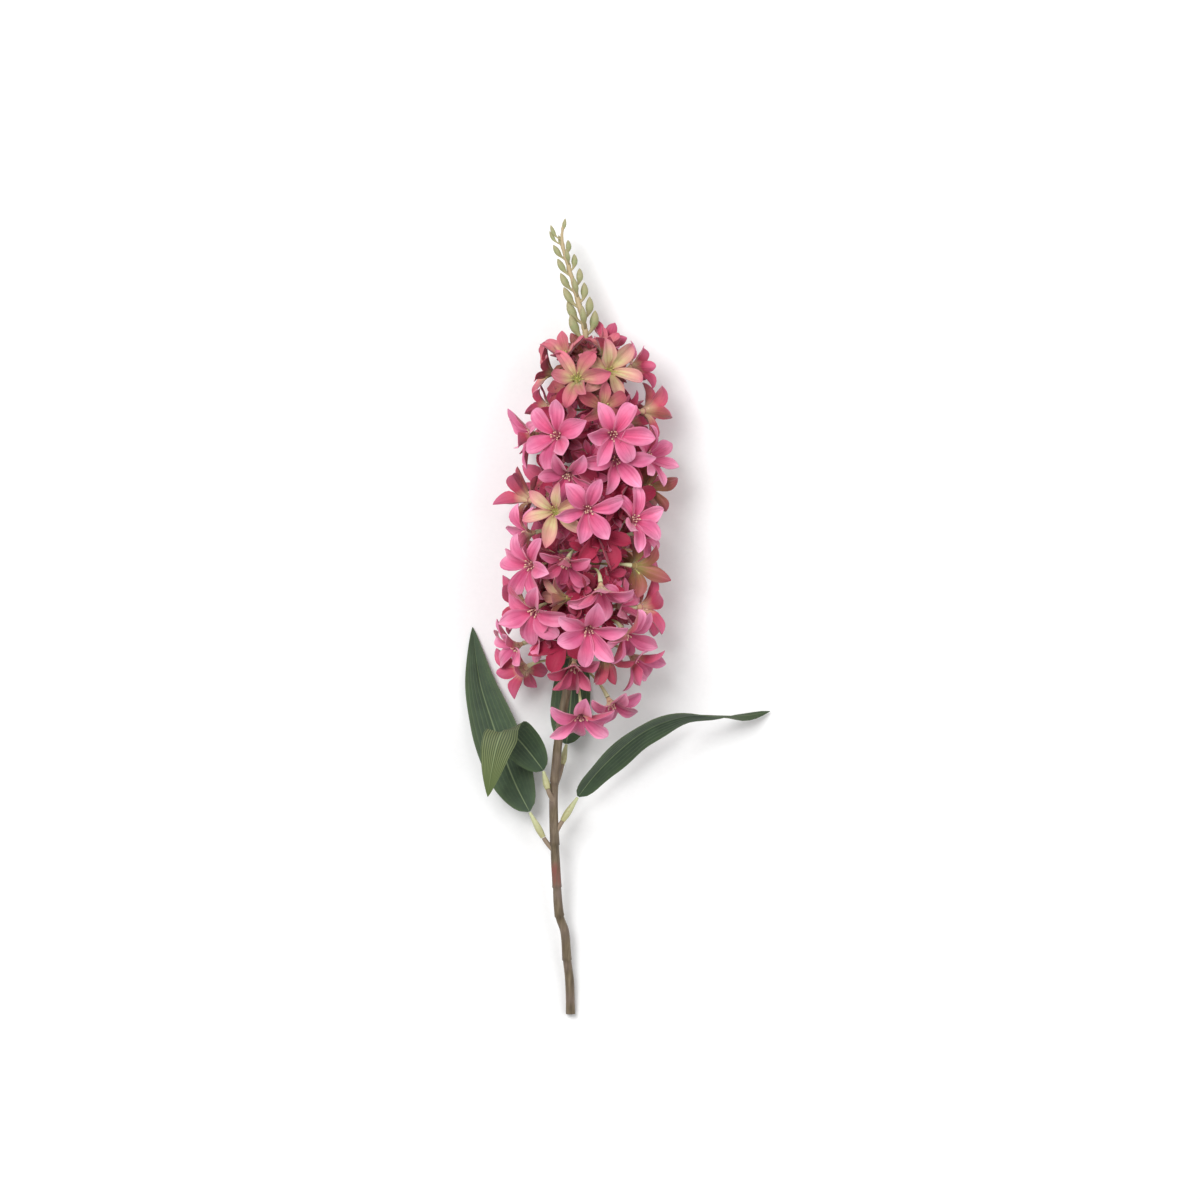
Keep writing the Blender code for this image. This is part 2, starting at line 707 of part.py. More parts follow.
def settle(plans, fixed):
    """Groups of florets, each in the first small change where it and its stalk clear the others.

    A hidden floret may cross hidden ones of its colour. They are one group and become one body.
    The first of the fixed trees is the flower axis, which the stalks grow from."""
    groups, cloths, stalks = [], [], []
    for plan in plans:
        for floret in small_changes(plan):
            sheet = corolla_sheet(floret)
            cloth = sheet_tree(sheet, CLEARANCE)
            if any(cloth.overlap(other) for other in fixed + stalks):
                continue
            own_stalk = BVHTree.FromBMesh(stalk(floret, STALK_CLEARANCE))
            if any(own_stalk.overlap(other) for other in fixed[1:] + [c for _, _, c, _ in cloths]):
                continue
            if crosses_itself(sheet):
                continue
            bare = sheet_tree(sheet, 0)
            near = [(kept, crossed) for kept, crossed, other, _ in cloths if cloth.overlap(other)]
            met = [other for _, other in near]
            if not met and len(groups) == MOST_GROUPS:
                continue
            if met:
                alike = {id(group) for _, group in near}
                if floret.shown or len(alike) > 1:
                    continue
                if any(kept.shown or kept.tint != floret.tint for kept, _ in near):
                    continue
                if not any(bare.overlap(other) for kept, _, _, other in cloths if kept in met[0]):
                    continue
            group = met[0] if met else []
            if not met:
                groups.append(group)
            group.append(floret)
            cloths.append((floret, group, cloth, bare))
            stalks.append(own_stalk)
            break
        else:
            print("no room for the floret at", round(plan.along / MM), round(math.degrees(plan.turn)))
    return groups


# Bud tip


def tip_stem(extra=0.0):
    """The thin stem of the bud tip."""
    low, high = AXIS_END + SEAT_GAP, STEM_LINE[-1][0]
    stations = []
    for index in range(TIP_RINGS):
        share = index / (TIP_RINGS - 1)
        along = low + (high - low) * share
        radius = TIP_RADII[0] + (TIP_RADII[1] - TIP_RADII[0]) * share + extra
        stations.append((stem_point(along), stem_direction(along), radius))
    return tube(stations, TIP_SIDES)


def bud_plans():
    """Each bud's place along the stem, turn about it, length, spread and half width. They grow
    smaller towards the tip, where three small ones stand on longer necks."""
    low, high = BUDS_REACH
    for index in range(BUDS):
        share = index / (BUDS - 1)
        length = BUD_LENGTHS[0] + (BUD_LENGTHS[1] - BUD_LENGTHS[0]) * share
        turn = math.radians(BUD_TURNS[index % len(BUD_TURNS)] + 6 * math.sin(index * 2.3))
        yield low + (high - low) * share, turn, length, BUD_SPREAD, length * BUD_SLIMNESS
    for along, turn, length, spread, belly in TOP_BUDS_MM:
        yield along * MM, math.radians(turn), length * MM, spread, belly * MM


def bud_bends(along, turn, length, spread):
    """The four corner points of a bud's curve, which leaves the stem sideways and turns up."""
    start, up = stem_point(along), stem_direction(along) * length
    out = Vector((math.sin(turn), 0, math.cos(turn))) * length * spread
    return start, start + out * 0.8 + up * 0.1, start + out + up * 0.55, start + out * 1.2 + up


def bud(along, turn, length, spread, belly, extra=0.0):
    """A closed bud on a short neck."""
    curve = along_bezier(*bud_bends(along, turn, length, spread), [share for share, _ in BUD_PROFILE])
    stations = [
        (point, ahead, belly * width + extra) for (point, ahead), (_, width) in zip(curve, BUD_PROFILE)
    ]
    return tube(stations, BUD_SIDES)


def tip_tree(extra):
    """A search tree of the bud tip, grown by some clearance."""
    points, faces = [], []
    for mesh in [tip_stem(extra), *(bud(*plan, extra) for plan in bud_plans())]:
        mesh.verts.index_update()
        faces += [[vert.index + len(points) for vert in face.verts] for face in mesh.faces]
        points += [vert.co.copy() for vert in mesh.verts]
        mesh.free()
    return BVHTree.FromPolygons(points, faces)


# Objects


def finish_material(name):
    """A Principled material with one of the finishes."""
    material = bpy.data.materials.get(name) or bpy.data.materials.new(name)
    material.use_nodes = True
    shader = material.node_tree.nodes["Principled BSDF"]
    shader.inputs["Base Color"].default_value = (*FINISHES[name].colour, 1)
    shader.inputs["Roughness"].default_value = FINISHES[name].roughness
    shader.inputs["Metallic"].default_value = 0
    return material


def new_object(name, mesh, finish, origin=None):
    """An object from a bmesh in world space, with its origin at a point or a matrix."""
    origin = origin or Matrix.Identity(4)
    mesh.transform(origin.inverted())
    data = bpy.data.meshes.new(name)
    mesh.to_mesh(data)
    mesh.free()
    data.materials.append(finish_material(finish))
    made = bpy.data.objects.new(name, data)
    bpy.context.scene.collection.objects.link(made)
    made.matrix_world = origin
    return made


def join_all(body, repeats):
    """Joins solids to a body with one Boolean union, and removes them."""
    group = bpy.data.collections.new("repeats")
    bpy.context.scene.collection.children.link(group)
    for obj in repeats:
        bpy.context.scene.collection.objects.unlink(obj)
        group.objects.link(obj)
    union = body.modifiers.new("join", "BOOLEAN")
    union.operation = "UNION"
    union.operand_type = "COLLECTION"
    union.collection = group
    union.solver = "MANIFOLD"
    joined = body.evaluated_get(bpy.context.evaluated_depsgraph_get())
    body.data = bpy.data.meshes.new_from_object(joined)
    body.modifiers.clear()
    for obj in repeats:
        bpy.data.objects.remove(obj)
    bpy.data.collections.remove(group)


def thicken(obj, thickness):
    """Gives a sheet its thickness, half to each side."""
    solid = obj.modifiers.new("thickness", "SOLIDIFY")
    solid.thickness = thickness
    solid.offset = 0


def shade_round(obj, limit=50):
    """Smooth shading, with a crease where two faces meet at more than the limit in degrees."""
    obj.data.shade_smooth()
    obj.data.set_sharp_from_angle(angle=math.radians(limit))


def build_stem():
    made = new_object("main_stem", main_stem(), "stem_green")
    join_all(made, [new_object(f"stub_{c.name}", stub(c), "stem_green") for c in COLLARS])
    shade_round(made)
    for collar in COLLARS:
        shade_round(new_object(collar.name, collar_sleeve(collar), "collar_green"))


def build_leaves():
    for leaf in LEAVES:
        origin = Matrix.Translation(leaf_station(leaf, 0).point)
        made = new_object(leaf.name, leaf_sheet(leaf), "leaf_green", origin)
        thicken(made, LEAF_THICKNESS)
        shade_round(made)


def axis_core(extra=0.0):
    """The flower axis without its stalks."""
    low, high = HEAD_START + SEAT_GAP, AXIS_END
    stations = []
    for index in range(AXIS_RINGS):
        share = index / (AXIS_RINGS - 1)
        along = low + (high - low) * share
        radius = AXIS_RADII[0] + (AXIS_RADII[1] - AXIS_RADII[0]) * share + extra
        stations.append((stem_point(along), stem_direction(along), radius))
    return tube(stations, AXIS_SIDES)


def floret_object(floret, name):
    """One floret as a solid of cloth, with its origin in its throat."""
    sheet = corolla_sheet(floret)
    made = new_object(name, sheet, f"petal_{floret.tint}", floret_frame(floret))
    thicken(made, CLOTH)
    return made


def build_head():
    fixed = [BVHTree.FromBMesh(axis_core(STALK_CLEARANCE)), BVHTree.FromBMesh(main_stem(STALK_CLEARANCE))]
    fixed += [tip_tree(STALK_CLEARANCE), *(sheet_tree(leaf_sheet(leaf), CLEARANCE) for leaf in LEAVES)]
    shown = sorted(shown_florets(), key=lambda floret: -throat(floret).z)
    groups = settle([*shown, *hidden_florets(UNDER), *hidden_florets(INSIDE)], fixed)
    core = new_object("flower_axis", axis_core(), "axis_green")
    stalks = [stalk(floret) for group in groups for floret in group]
    join_all(core, [new_object("stalk", mesh, "axis_green") for mesh in stalks])
    shade_round(core)
    for number, group in enumerate(groups, 1):
        name = f"floret{'s' if len(group) > 1 else ''}_{number:02d}_{group[0].tint}"
        made = floret_object(group[0], name)
        if len(group) > 1:
            join_all(made, [floret_object(floret, "repeat") for floret in group[1:]])
        shade_round(made)


def build_bud_tip():
    made = new_object("bud_tip", tip_stem(), "bud_green")
    join_all(made, [new_object("bud", bud(*plan), "bud_green") for plan in bud_plans()])
    shade_round(made)


def main():
    for obj in list(bpy.data.objects):
        bpy.data.objects.remove(obj)
    build_stem()
    build_leaves()
    build_head()
    build_bud_tip()


main()
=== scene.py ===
"""The finished look of a stock flower spike of cloth and moulded plastic, lying on a table.

The spike lies along +Y with its tip furthest from its cut end, +X is to its right, and the table
is the plane z = 0. Each CAD node is replaced by a finer piece in the same place: the florets are
found again by the same rules, and then cut from thin cloth with creases, veins and stamens.
"""

import itertools
import json
import math
import random
from collections import namedtuple

import bmesh
import bpy
from mathutils import Matrix, Vector, noise
from mathutils.bvhtree import BVHTree

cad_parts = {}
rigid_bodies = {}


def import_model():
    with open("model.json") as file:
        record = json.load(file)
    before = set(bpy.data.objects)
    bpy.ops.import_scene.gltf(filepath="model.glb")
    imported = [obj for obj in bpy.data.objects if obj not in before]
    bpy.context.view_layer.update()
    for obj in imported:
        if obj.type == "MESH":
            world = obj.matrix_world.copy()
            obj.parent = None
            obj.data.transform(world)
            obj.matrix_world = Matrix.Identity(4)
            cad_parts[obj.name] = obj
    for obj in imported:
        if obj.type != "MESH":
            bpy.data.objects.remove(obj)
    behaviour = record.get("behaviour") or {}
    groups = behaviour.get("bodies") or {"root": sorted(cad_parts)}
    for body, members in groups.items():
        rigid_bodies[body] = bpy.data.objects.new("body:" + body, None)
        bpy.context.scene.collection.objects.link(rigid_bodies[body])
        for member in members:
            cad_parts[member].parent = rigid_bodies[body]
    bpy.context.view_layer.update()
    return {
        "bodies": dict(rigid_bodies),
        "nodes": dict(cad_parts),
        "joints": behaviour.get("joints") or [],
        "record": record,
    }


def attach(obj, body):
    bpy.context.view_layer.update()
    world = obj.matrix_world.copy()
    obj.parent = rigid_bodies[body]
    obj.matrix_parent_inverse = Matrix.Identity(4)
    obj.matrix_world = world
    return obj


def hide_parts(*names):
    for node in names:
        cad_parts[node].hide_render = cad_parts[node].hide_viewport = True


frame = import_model()

MM = 0.001

# Clearance between two pieces that touch
SEAT_GAP = 0.3 * MM

# The middle of the stem in mm: how far along the spike, across it, and above the table
STEM_LINE_MM = (
    (-271.0, -31.7, 3.1),
    (-248.5, -32.4, 6.0),
    (-233.6, -34.1, 8.4),
    (-214.0, -35.8, 11.8),
    (-203.7, -39.2, 13.6),
    (-184.0, -40.9, 17.0),
    (-155.4, -42.4, 22.0),
    (-123.4, -43.2, 28.0),
    (-101.0, -41.5, 32.0),
    (-78.5, -39.2, 35.6),
    (-56.1, -35.2, 37.6),
    (-35.7, -31.3, 39.2),
    (-18.7, -27.6, 40.0),
    (5.1, -24.5, 40.6),
    (59.5, -20.4, 40.6),
    (93.5, -18.2, 40.0),
    (124.1, -17.0, 38.8),
    (154.7, -17.7, 37.0),
    (178.5, -19.7, 35.2),
    (198.9, -22.4, 34.0),
    (215.2, -26.4, 32.6),
    (241.1, -33.5, 30.3),
    (250.6, -36.6, 29.6),
    (259.4, -37.4, 29.0),
    (268.6, -36.3, 28.6),
)
STEM_LINE = [tuple(v * MM for v in row) for row in STEM_LINE_MM]

# Main stem: a wire-cored tube in lengths that step where one sleeve ends
CUT_END = -271 * MM
HEAD_START = -35 * MM
STEM_RADIUS = 3.05 * MM
STEM_STEP = 0.35 * MM
STEM_JOINTS = [v * MM for v in (-234, -204, -184, -155, -112, -74)]
STEM_ENDS = [CUT_END, *STEM_JOINTS, HEAD_START]
STEM_RING_EVERY = 18 * MM
STEM_SIDES = 9

# Flower axis: the moulded core of the head, with a stalk to each floret
AXIS_END = 186 * MM
AXIS_REACH = (HEAD_START + SEAT_GAP, AXIS_END)
AXIS_RADII = (2.6 * MM, 2.2 * MM)
AXIS_RINGS = 10
AXIS_SIDES = 8
STALK_RADIUS = 0.8 * MM
STALK_FLARE = 1.7 * MM
STALK_FLARE_LENGTH = 5 * MM
STALK_REACH = 16 * MM
STALK_LOWEST = 9 * MM
STALK_HIGHEST = 4 * MM
STALK_SIDES = 3

# Bud tip: the moulded spray of closed buds
TIP_REACH = (AXIS_END + SEAT_GAP, STEM_LINE[-1][0])
TIP_RADII = (2.1 * MM, 1.0 * MM)
TIP_RINGS = 13
TIP_SIDES = 6
BUDS = 18
BUDS_REACH = (188.5 * MM, 250.5 * MM)
BUD_TURNS = (-80, 82, 10, -100, 98, 185)
BUD_LENGTHS = (17 * MM, 10 * MM)
BUD_SPREAD = 0.44
BUD_SLIMNESS = 0.19
BUD_SIDES = 4
BUD_PROFILE = ((0.0, 0.36), (0.34, 0.42), (0.6, 1.0), (0.84, 0.8), (1.0, 0.14))
TOP_BUDS_MM = ((257.0, -96, 10.0, 0.62, 1.5), (253.5, -112, 9.5, 0.72, 1.4), (262.0, 60, 9.5, 0.1, 1.5))

# Florets: six petals that grow from the rim of a small cup
PETALS = 6
CLOTH = 0.7 * MM
CUP_RIM = 2.5 * MM
CUP_FOOT = 1.4 * MM
CUP_DEPTH = 3.6 * MM
PETAL_HALF_WIDTH = 0.22
PETAL_ROWS = ((0.5,), (0.3, 0.66))
PETAL_STEPS = 12
PETAL_CUP = 0.26
PETAL_ROOM = math.tan(math.radians(25))
THROAT_ANGLE = math.radians(32)
TABLE_TOUCH = CLOTH / 2
SEED = 61

# How far the throat of a floret stands from the stem, by place along the spike, in mm
THROAT_RADIUS_MM = (
    (-75, 15),
    (-60, 24),
    (-40, 34),
    (-20, 38),
    (10, 39.5),
    (60, 39),
    (100, 37.5),
    (130, 35),
    (150, 31),
    (165, 26.5),
    (176, 20),
    (186, 13),
    (197, 7),
)
THROAT_RADIUS = [tuple(v * MM for v in row) for row in THROAT_RADIUS_MM]

# The florets that show from above. Each row holds its colour, its place along the spike in mm, its
# turn about the stem from the top in degrees, how far it is pushed out in mm, the way it faces
# (right, up the spike, away from the table), the turn of its petals in degrees, the length of a
# petal in mm, and how wide it is open in degrees, where 90 is flat
SHOWN_FLORETS = (
    ("coral", 180.0, 40, 0, (0.15, 0.9, 0.4), 10, 16, 28),
    ("coral", 176.0, -50, 0, (-0.4, 0.75, 0.5), 25, 19, 44),
    ("pink", 177.0, 95, 2, (0.6, 0.6, -0.3), 0, 18, 56),
    ("cream", 163.5, 34, 3, (0.18, 0.08, 0.95), 33, 26, 84),
    ("coral", 161.0, -18, 0, (-0.1, 0.18, 0.95), 3, 23, 80),
    ("pink", 170.0, 88, 5, (0.75, 0.35, -0.3), 20, 19, 62),
    ("coral", 166.0, -92, 0, (-0.8, 0.3, 0.15), 15, 20, 66),
    ("pink", 146.0, -98, 2, (-0.75, 0.1, -0.45), 40, 22, 70),
    ("coral", 144.5, 16, -9, (0.1, 0.05, 0.95), 50, 19, 70),
    ("pink", 140.0, 92, 2, (0.7, 0.0, -0.5), 10, 22, 70),
    ("pink", 123.5, 21, 4, (0.1, -0.05, 0.97), 0, 27, 86),
    ("pink", 122.5, -38, 2, (-0.4, 0.02, 0.9), 20, 27, 82),
    ("pink", 124.0, -86, 4, (-0.92, -0.1, 0.15), 30, 23, 72),
    ("pink", 104.0, 33, -2, (0.25, -0.15, 0.93), 10, 26, 84),
    ("pink", 109.0, 80, 1, (0.7, 0.05, 0.45), 25, 23, 74),
    ("pink", 97.0, -27, -5, (-0.15, -0.6, 0.7), 45, 22, 62),
    ("cream", 88.0, 96, 0, (0.55, 0.1, -0.7), 5, 24, 72),
    ("pink", 80.0, -95, 2, (-0.65, 0.25, -0.5), 35, 23, 72),
    ("cream", 71.5, -36, 4, (-0.12, 0.03, 0.97), 51, 24, 86),
    ("pink", 73.0, -1, -1, (0.08, -0.2, 0.95), 12, 25, 80),
    ("pink", 66.0, 52, 0, (0.55, 0.1, 0.75), 20, 22, 70),
    ("pink", 57.0, -73, 1, (-0.85, -0.2, 0.3), 15, 23, 72),
    ("pink", 50.0, 78, -6, (0.8, 0.1, 0.45), 0, 20, 64),
    ("pink", 35.0, -60, 2, (-0.6, -0.1, 0.7), 28, 26, 78),
    ("pink", 38.0, -22, -7, (-0.25, -0.55, 0.6), 15, 20, 60),
    ("cream", 35.0, 72, -4, (0.6, -0.1, -0.72), 20, 24, 76),
    ("pink", 20.0, 18, 0, (0.05, -0.88, 0.4), 30, 25, 66),
    ("cream", 20.0, -22, -15, (-0.6, 0.0, 0.1), 0, 19, 48),
    ("pink", 7.0, 92, 1, (0.72, 0.0, -0.5), 40, 23, 74),
    ("pink", 10.0, -104, 1, (-0.8, 0.1, -0.35), 20, 23, 72),
    ("pink", 5.0, -50, 1, (-0.48, -0.4, 0.75), 5, 26, 78),
    ("pink", -7.5, 9, 4, (0.1, -0.5, 0.85), 20, 27, 80),
    ("pink", -10.0, 54, 0, (0.42, -0.65, 0.5), 50, 25, 68),
    ("pink", -19.0, -84, 2, (-0.75, -0.3, 0.35), 30, 23, 70),
    ("pink", -27.0, 86, 3, (0.65, -0.6, 0.25), 12, 24, 68),
    ("pink", -29.0, 4, -9, (0.0, -0.8, 0.5), 35, 22, 62),
    ("coral", -34.0, 43, -8, (0.2, -0.75, -0.25), 0, 20, 58),
    ("pink", -34.0, -101, 1, (-0.5, -0.3, -0.72), 30, 22, 74),
    ("pink", -57.5, 72, 7, (0.35, -0.72, 0.3), 40, 23, 70),
    ("pink", -66.0, 34, 2, (0.02, -0.72, 0.62), 28, 25, 74),
)

# Florets that hardly show: rows that face the table, and rows that fill the spaces inside. A row
# holds its place along the spike in mm, then the turn of each of its florets about the stem
Hidden = namedtuple("Hidden", "tint rows push length open seed")
UNDER = Hidden(
    tint="pink",
    rows=(
        (22, 180),
        (44, -143, 143),
        (66, 180),
        (88, -143, 143),
        (110, 180),
        (132, -143, 143),
        (153, 180),
    ),
    push=1 * MM,
    length=27 * MM,
    open=math.radians(80),
    seed=200,
)
INSIDE = Hidden(
    tint="pink",
    rows=(
        (-24, -24),
        (-8, -72),
        (8, 66, -24),
        (24, -72, 22),
        (56, 22),
        (72, 66, -24),
        (88, 22),
    ),
    push=-17 * MM,
    length=26 * MM,
    open=math.radians(72),
    seed=300,
)
LOWEST_THROAT = 8 * MM
MOST_GROUPS = 49

# The small changes that are tried, in this order, until a floret clears those already placed
SHORTER = (1.0, 0.9, 0.8, 0.7)
SHIFTED = [v * MM for v in (0, 3.5, -3.5, 7, -7)]
PUSHED = [v * MM for v in (0, 2.5, -2.5, 5, -5)]
CLOSED = [math.radians(v) for v in (0, 14)]
TURNED = [math.radians(v) for v in (0, 10, -10, 20, -20, 30)]
CLEARANCE = 0.52 * MM
STALK_CLEARANCE = 0.16 * MM

# Leaves in mm: rows of share along the leaf, then the midrib's place, then the blade's right side
Leaf = namedtuple("Leaf", "name half_width fold rows")
LEAVES = (
    Leaf(
        "leaf_left_long",
        16.4 * MM,
        0.16,
        (
            (0.0, -59.8, -132.0, 21.6, 0.88, 0.45, 0.0),
            (0.13, -68.5, -115.3, 16.8, 0.9, 0.43, 0.05),
            (0.28, -75.9, -97.5, 12.6, 0.92, 0.38, 0.1),
            (0.5, -85.6, -70.5, 8.0, 0.93, 0.34, 0.1),
            (0.73, -94.0, -42.5, 4.6, 0.96, 0.25, 0.05),
            (1.0, -98.8, -6.5, 1.3, 0.98, 0.1, 0.0),
        ),
    ),
    Leaf(
        "leaf_left_folded",
        13.2 * MM,
        0.1,
        (
            (0.0, -50.2, -103.9, 29.4, 0.66, 0.74, 0.1),
            (0.14, -58.0, -93.6, 32.0, 0.68, 0.72, 0.1),
            (0.27, -65.4, -84.6, 36.6, 0.76, 0.63, 0.1),
            (0.39, -72.2, -77.6, 45.0, 0.88, 0.46, 0.02),
            (0.48, -77.4, -77.6, 52.6, 0.95, 0.3, 0.0),
            (0.58, -81.4, -87.0, 55.2, 0.98, 0.16, 0.06),
            (0.78, -85.0, -104.0, 52.6, 0.98, -0.02, 0.12),
            (1.0, -87.6, -121.4, 46.0, 0.96, -0.2, 0.15),
        ),
    ),
    Leaf(
        "leaf_right",
        14.6 * MM,
        0.2,
        (
            (0.0, -26.4, -121.8, 27.2, 0.55, -0.48, -0.68),
            (0.12, -15.0, -107.4, 30.6, 0.44, -0.4, -0.8),
            (0.26, -1.6, -93.6, 33.6, 0.42, -0.38, -0.82),
            (0.4, 13.6, -81.0, 35.4, 0.36, -0.42, -0.83),
            (0.52, 28.6, -72.8, 34.4, 0.25, -0.45, -0.86),
            (0.66, 48.6, -67.4, 28.8, 0.1, -0.3, -0.93),
            (0.8, 71.6, -67.6, 19.6, -0.1, -0.04, -1.0),
            (0.9, 88.4, -67.6, 11.0, -0.1, 0.55, -0.85),
            (1.0, 104.7, -64.3, 1.9, 0.1, 0.9, -0.3),
        ),
    ),
    Leaf(
        "leaf_under_stem",
        13.4 * MM,
        0.0,
        (
            (0.0, -34.4, -86.0, 18.6, 1.0, 0.0, 0.0),
            (0.18, -33.0, -72.0, 11.8, 1.0, 0.0, 0.0),
            (0.36, -31.6, -56.0, 5.0, 1.0, 0.0, 0.0),
            (0.52, -30.4, -42.0, 0.6, 1.0, 0.0, 0.0),
            (0.6, -29.9, -35.0, 0.0, 1.0, 0.0, 0.0),
            (0.8, -28.6, -17.0, 0.0, 1.0, 0.0, 0.0),
            (1.0, -27.4, 1.0, 0.0, 1.0, 0.0, 0.0),
        ),
    ),
)
LEAF_THICKNESS = 0.8 * MM
LEAF_ROWS = 11
LEAF_BASE = 1.1 * MM

# Collars: the pale swollen sleeves that hold the leaves. In mm: a point inside the stem, where the
# stem's stub ends, and where the leaf starts
Collar = namedtuple("Collar", "name root stub_end leaf_start")
COLLARS = (
    Collar("collar_left_long", (-42.0, -160, 21.2), (-50.0, -150.0, 21.5), (-59.8, -132.0, 21.6)),
    Collar("collar_left_folded", (-43.2, -125, 28.4), (-46.9, -117.0, 33.6), (-50.2, -103.9, 29.4)),
    Collar("collar_right", (-42.4, -147, 23.4), (-37.2, -138.6, 25.2), (-26.4, -121.8, 27.2)),
    Collar("collar_under_stem", (-42.4, -116, 29.0), (-37.4, -100.5, 24.6), (-34.4, -86.0, 18.6)),
)
STUB_RADII = (1.9 * MM, 1.5 * MM)
COLLAR_PROFILE = ((0.0, 1.75), (0.3, 2.35), (0.6, 1.9), (0.85, 1.25), (1.0, 1.0))
COLLAR_LEAF_GAP = 0.8 * MM

Floret = namedtuple("Floret", "tint along turn push face roll length open seed shown")
Station = namedtuple("Station", "point ahead side front reach", defaults=(0.0,))


def values_at(rows, place):
    """The values that rows give at a place, on a smooth curve. A row is a place and its values."""
    first = min(sum(row[0] < place for row in rows[1:]), len(rows) - 2)
    start, end = rows[first], rows[first + 1]
    span = end[0] - start[0]
    part = min(max((place - start[0]) / span, 0.0), 1.0)

    def slope(row, column):
        before = rows[max(row - 1, 0)]
        after = rows[min(row + 1, len(rows) - 1)]
        return (after[column] - before[column]) / (after[0] - before[0])

    found = []
    for column in range(1, len(start)):
        leave = slope(first, column) * span
        arrive = slope(first + 1, column) * span
        rise = end[column] - start[column]
        bend = part * (1 - part) * ((1 - part) * (leave - rise) + part * (rise - arrive))
        found.append(start[column] + part * rise + bend)
    return found


def stem_point(along):
    """The middle of the stem at a place along the spike."""
    across, height = values_at(STEM_LINE, along)
    return Vector((across, along, height))


def stem_direction(along):
    """The way the stem runs there, towards its tip."""
    return (stem_point(along + MM) - stem_point(along - MM)).normalized()


def between(ends, share):
    """The value at a share of the way between two."""
    low, high = ends
    return low + (high - low) * share


def tapering(reach, radii, rings, extra=0.0):
    """Stations of a tapering length on the stem's line."""
    stations = []
    for index in range(rings):
        share = index / (rings - 1)
        along = between(reach, share)
        stations.append((stem_point(along), stem_direction(along), between(radii, share) + extra))
    return stations


def ring(mesh, point, direction, radius, sides, closed):
    """A circle of edges across a direction, with a face in it where a tube ends."""
    turn = direction.to_track_quat("Z", "Y").to_matrix().to_4x4()
    made = bmesh.ops.create_circle(
        mesh,
        cap_ends=closed,
        radius=radius,
        segments=sides,
        matrix=Matrix.Translation(point) @ turn,
    )
    around = set(made["verts"])
    return [e for e in mesh.edges if around.issuperset(e.verts)]


def add_rings(mesh, stations, sides):
    """Rings of edges at stations of point, direction and radius, joined into a closed tube."""
    last = len(stations) - 1
    rings = [ring(mesh, *station, sides, index in (0, last)) for index, station in enumerate(stations)]
    for first, second in zip(rings, rings[1:]):
        bmesh.ops.bridge_loops(mesh, edges=first + second)
    return rings


def tube(stations, sides):
    """A closed tube of triangles, as a bmesh."""
    mesh = bmesh.new()
    add_rings(mesh, stations, sides)
    bmesh.ops.triangulate(mesh, faces=mesh.faces)
    bmesh.ops.recalc_face_normals(mesh, faces=mesh.faces)
    return mesh


def along_bezier(start, leave, arrive, end, shares):
    """Points and directions on a cubic Bezier curve."""
    found = []
    for share in shares:
        rest = 1 - share
        point = (
            start * rest**3 + leave * 3 * rest**2 * share + arrive * 3 * rest * share**2 + end * share**3
        )
        ahead = (
            (leave - start) * rest**2 + (arrive - leave) * 2 * rest * share + (end - arrive) * share**2
        )
        found.append((point, ahead.normalized()))
    return found


# Main stem and collars


def stem_radius(along):
    """Each length of the stem is widest just above its joint and narrows to the next one."""
    start, end = max(length for length in zip(STEM_ENDS, STEM_ENDS[1:]) if along >= length[0])
    return STEM_RADIUS + STEM_STEP * (0.5 - (along - start) / (end - start))


def stem_places(every=STEM_RING_EVERY):
    """Where the stem has a ring: two at each joint, and even steps between joints."""
    places = []
    for start, end in zip(STEM_ENDS, STEM_ENDS[1:]):
        steps = max(1, round((end - start) / every))
        low = start + (SEAT_GAP if start in STEM_JOINTS else 0)
        high = end - SEAT_GAP
        places += [low + (high - low) * step / steps for step in range(steps + 1)]
    return places


def main_stem(extra):
    """The plain stem from its cut end to the head, grown by some clearance."""
    stations = [(stem_point(y), stem_direction(y), stem_radius(y) + extra) for y in stem_places()]
    mesh = tube(stations, STEM_SIDES)
    for vert in mesh.verts:
        vert.co.z = max(vert.co.z, 0.0)
    return mesh


def collar_line(collar):
    """Where a collar starts and ends, clear of its stub and of its leaf, and the way it runs."""
    low, high = Vector(collar.stub_end) * MM, Vector(collar.leaf_start) * MM
    ahead = (high - low).normalized()
    return low + ahead * SEAT_GAP, high - ahead * COLLAR_LEAF_GAP, ahead


# Leaves


def leaf_width(leaf, share):
    """Half the blade's width: it widens fast from its base and narrows slowly to its tip."""
    swell = math.sin(math.pi * share**0.62) ** 0.8 if 0 < share < 1 else 0
    return max(leaf.half_width * swell, LEAF_BASE * (1 - share))


def leaf_station(leaf, share):
    """The midrib's place, its direction, the blade's right side and its front at a share."""
    *place, right, up, near = values_at(leaf.rows, share)
    after = Vector(values_at(leaf.rows, min(share + 0.01, 1))[:3])
    before = Vector(values_at(leaf.rows, max(share - 0.01, 0))[:3])
    ahead = (after - before).normalized()
    side = Vector((right, up, near))
    side = (side - ahead * side.dot(ahead)).normalized()
    return Station(Vector(place) * MM, ahead, side, side.cross(ahead))


def leaf_point(leaf, share, across):
    """A point of the blade. Its two halves rise a little from the midrib."""
    station = leaf_station(leaf, share)
    out = leaf_width(leaf, share) * across
    point = station.point + station.side * out + station.front * abs(out) * leaf.fold
    point.z = max(point.z, LEAF_THICKNESS / 2)
    return point


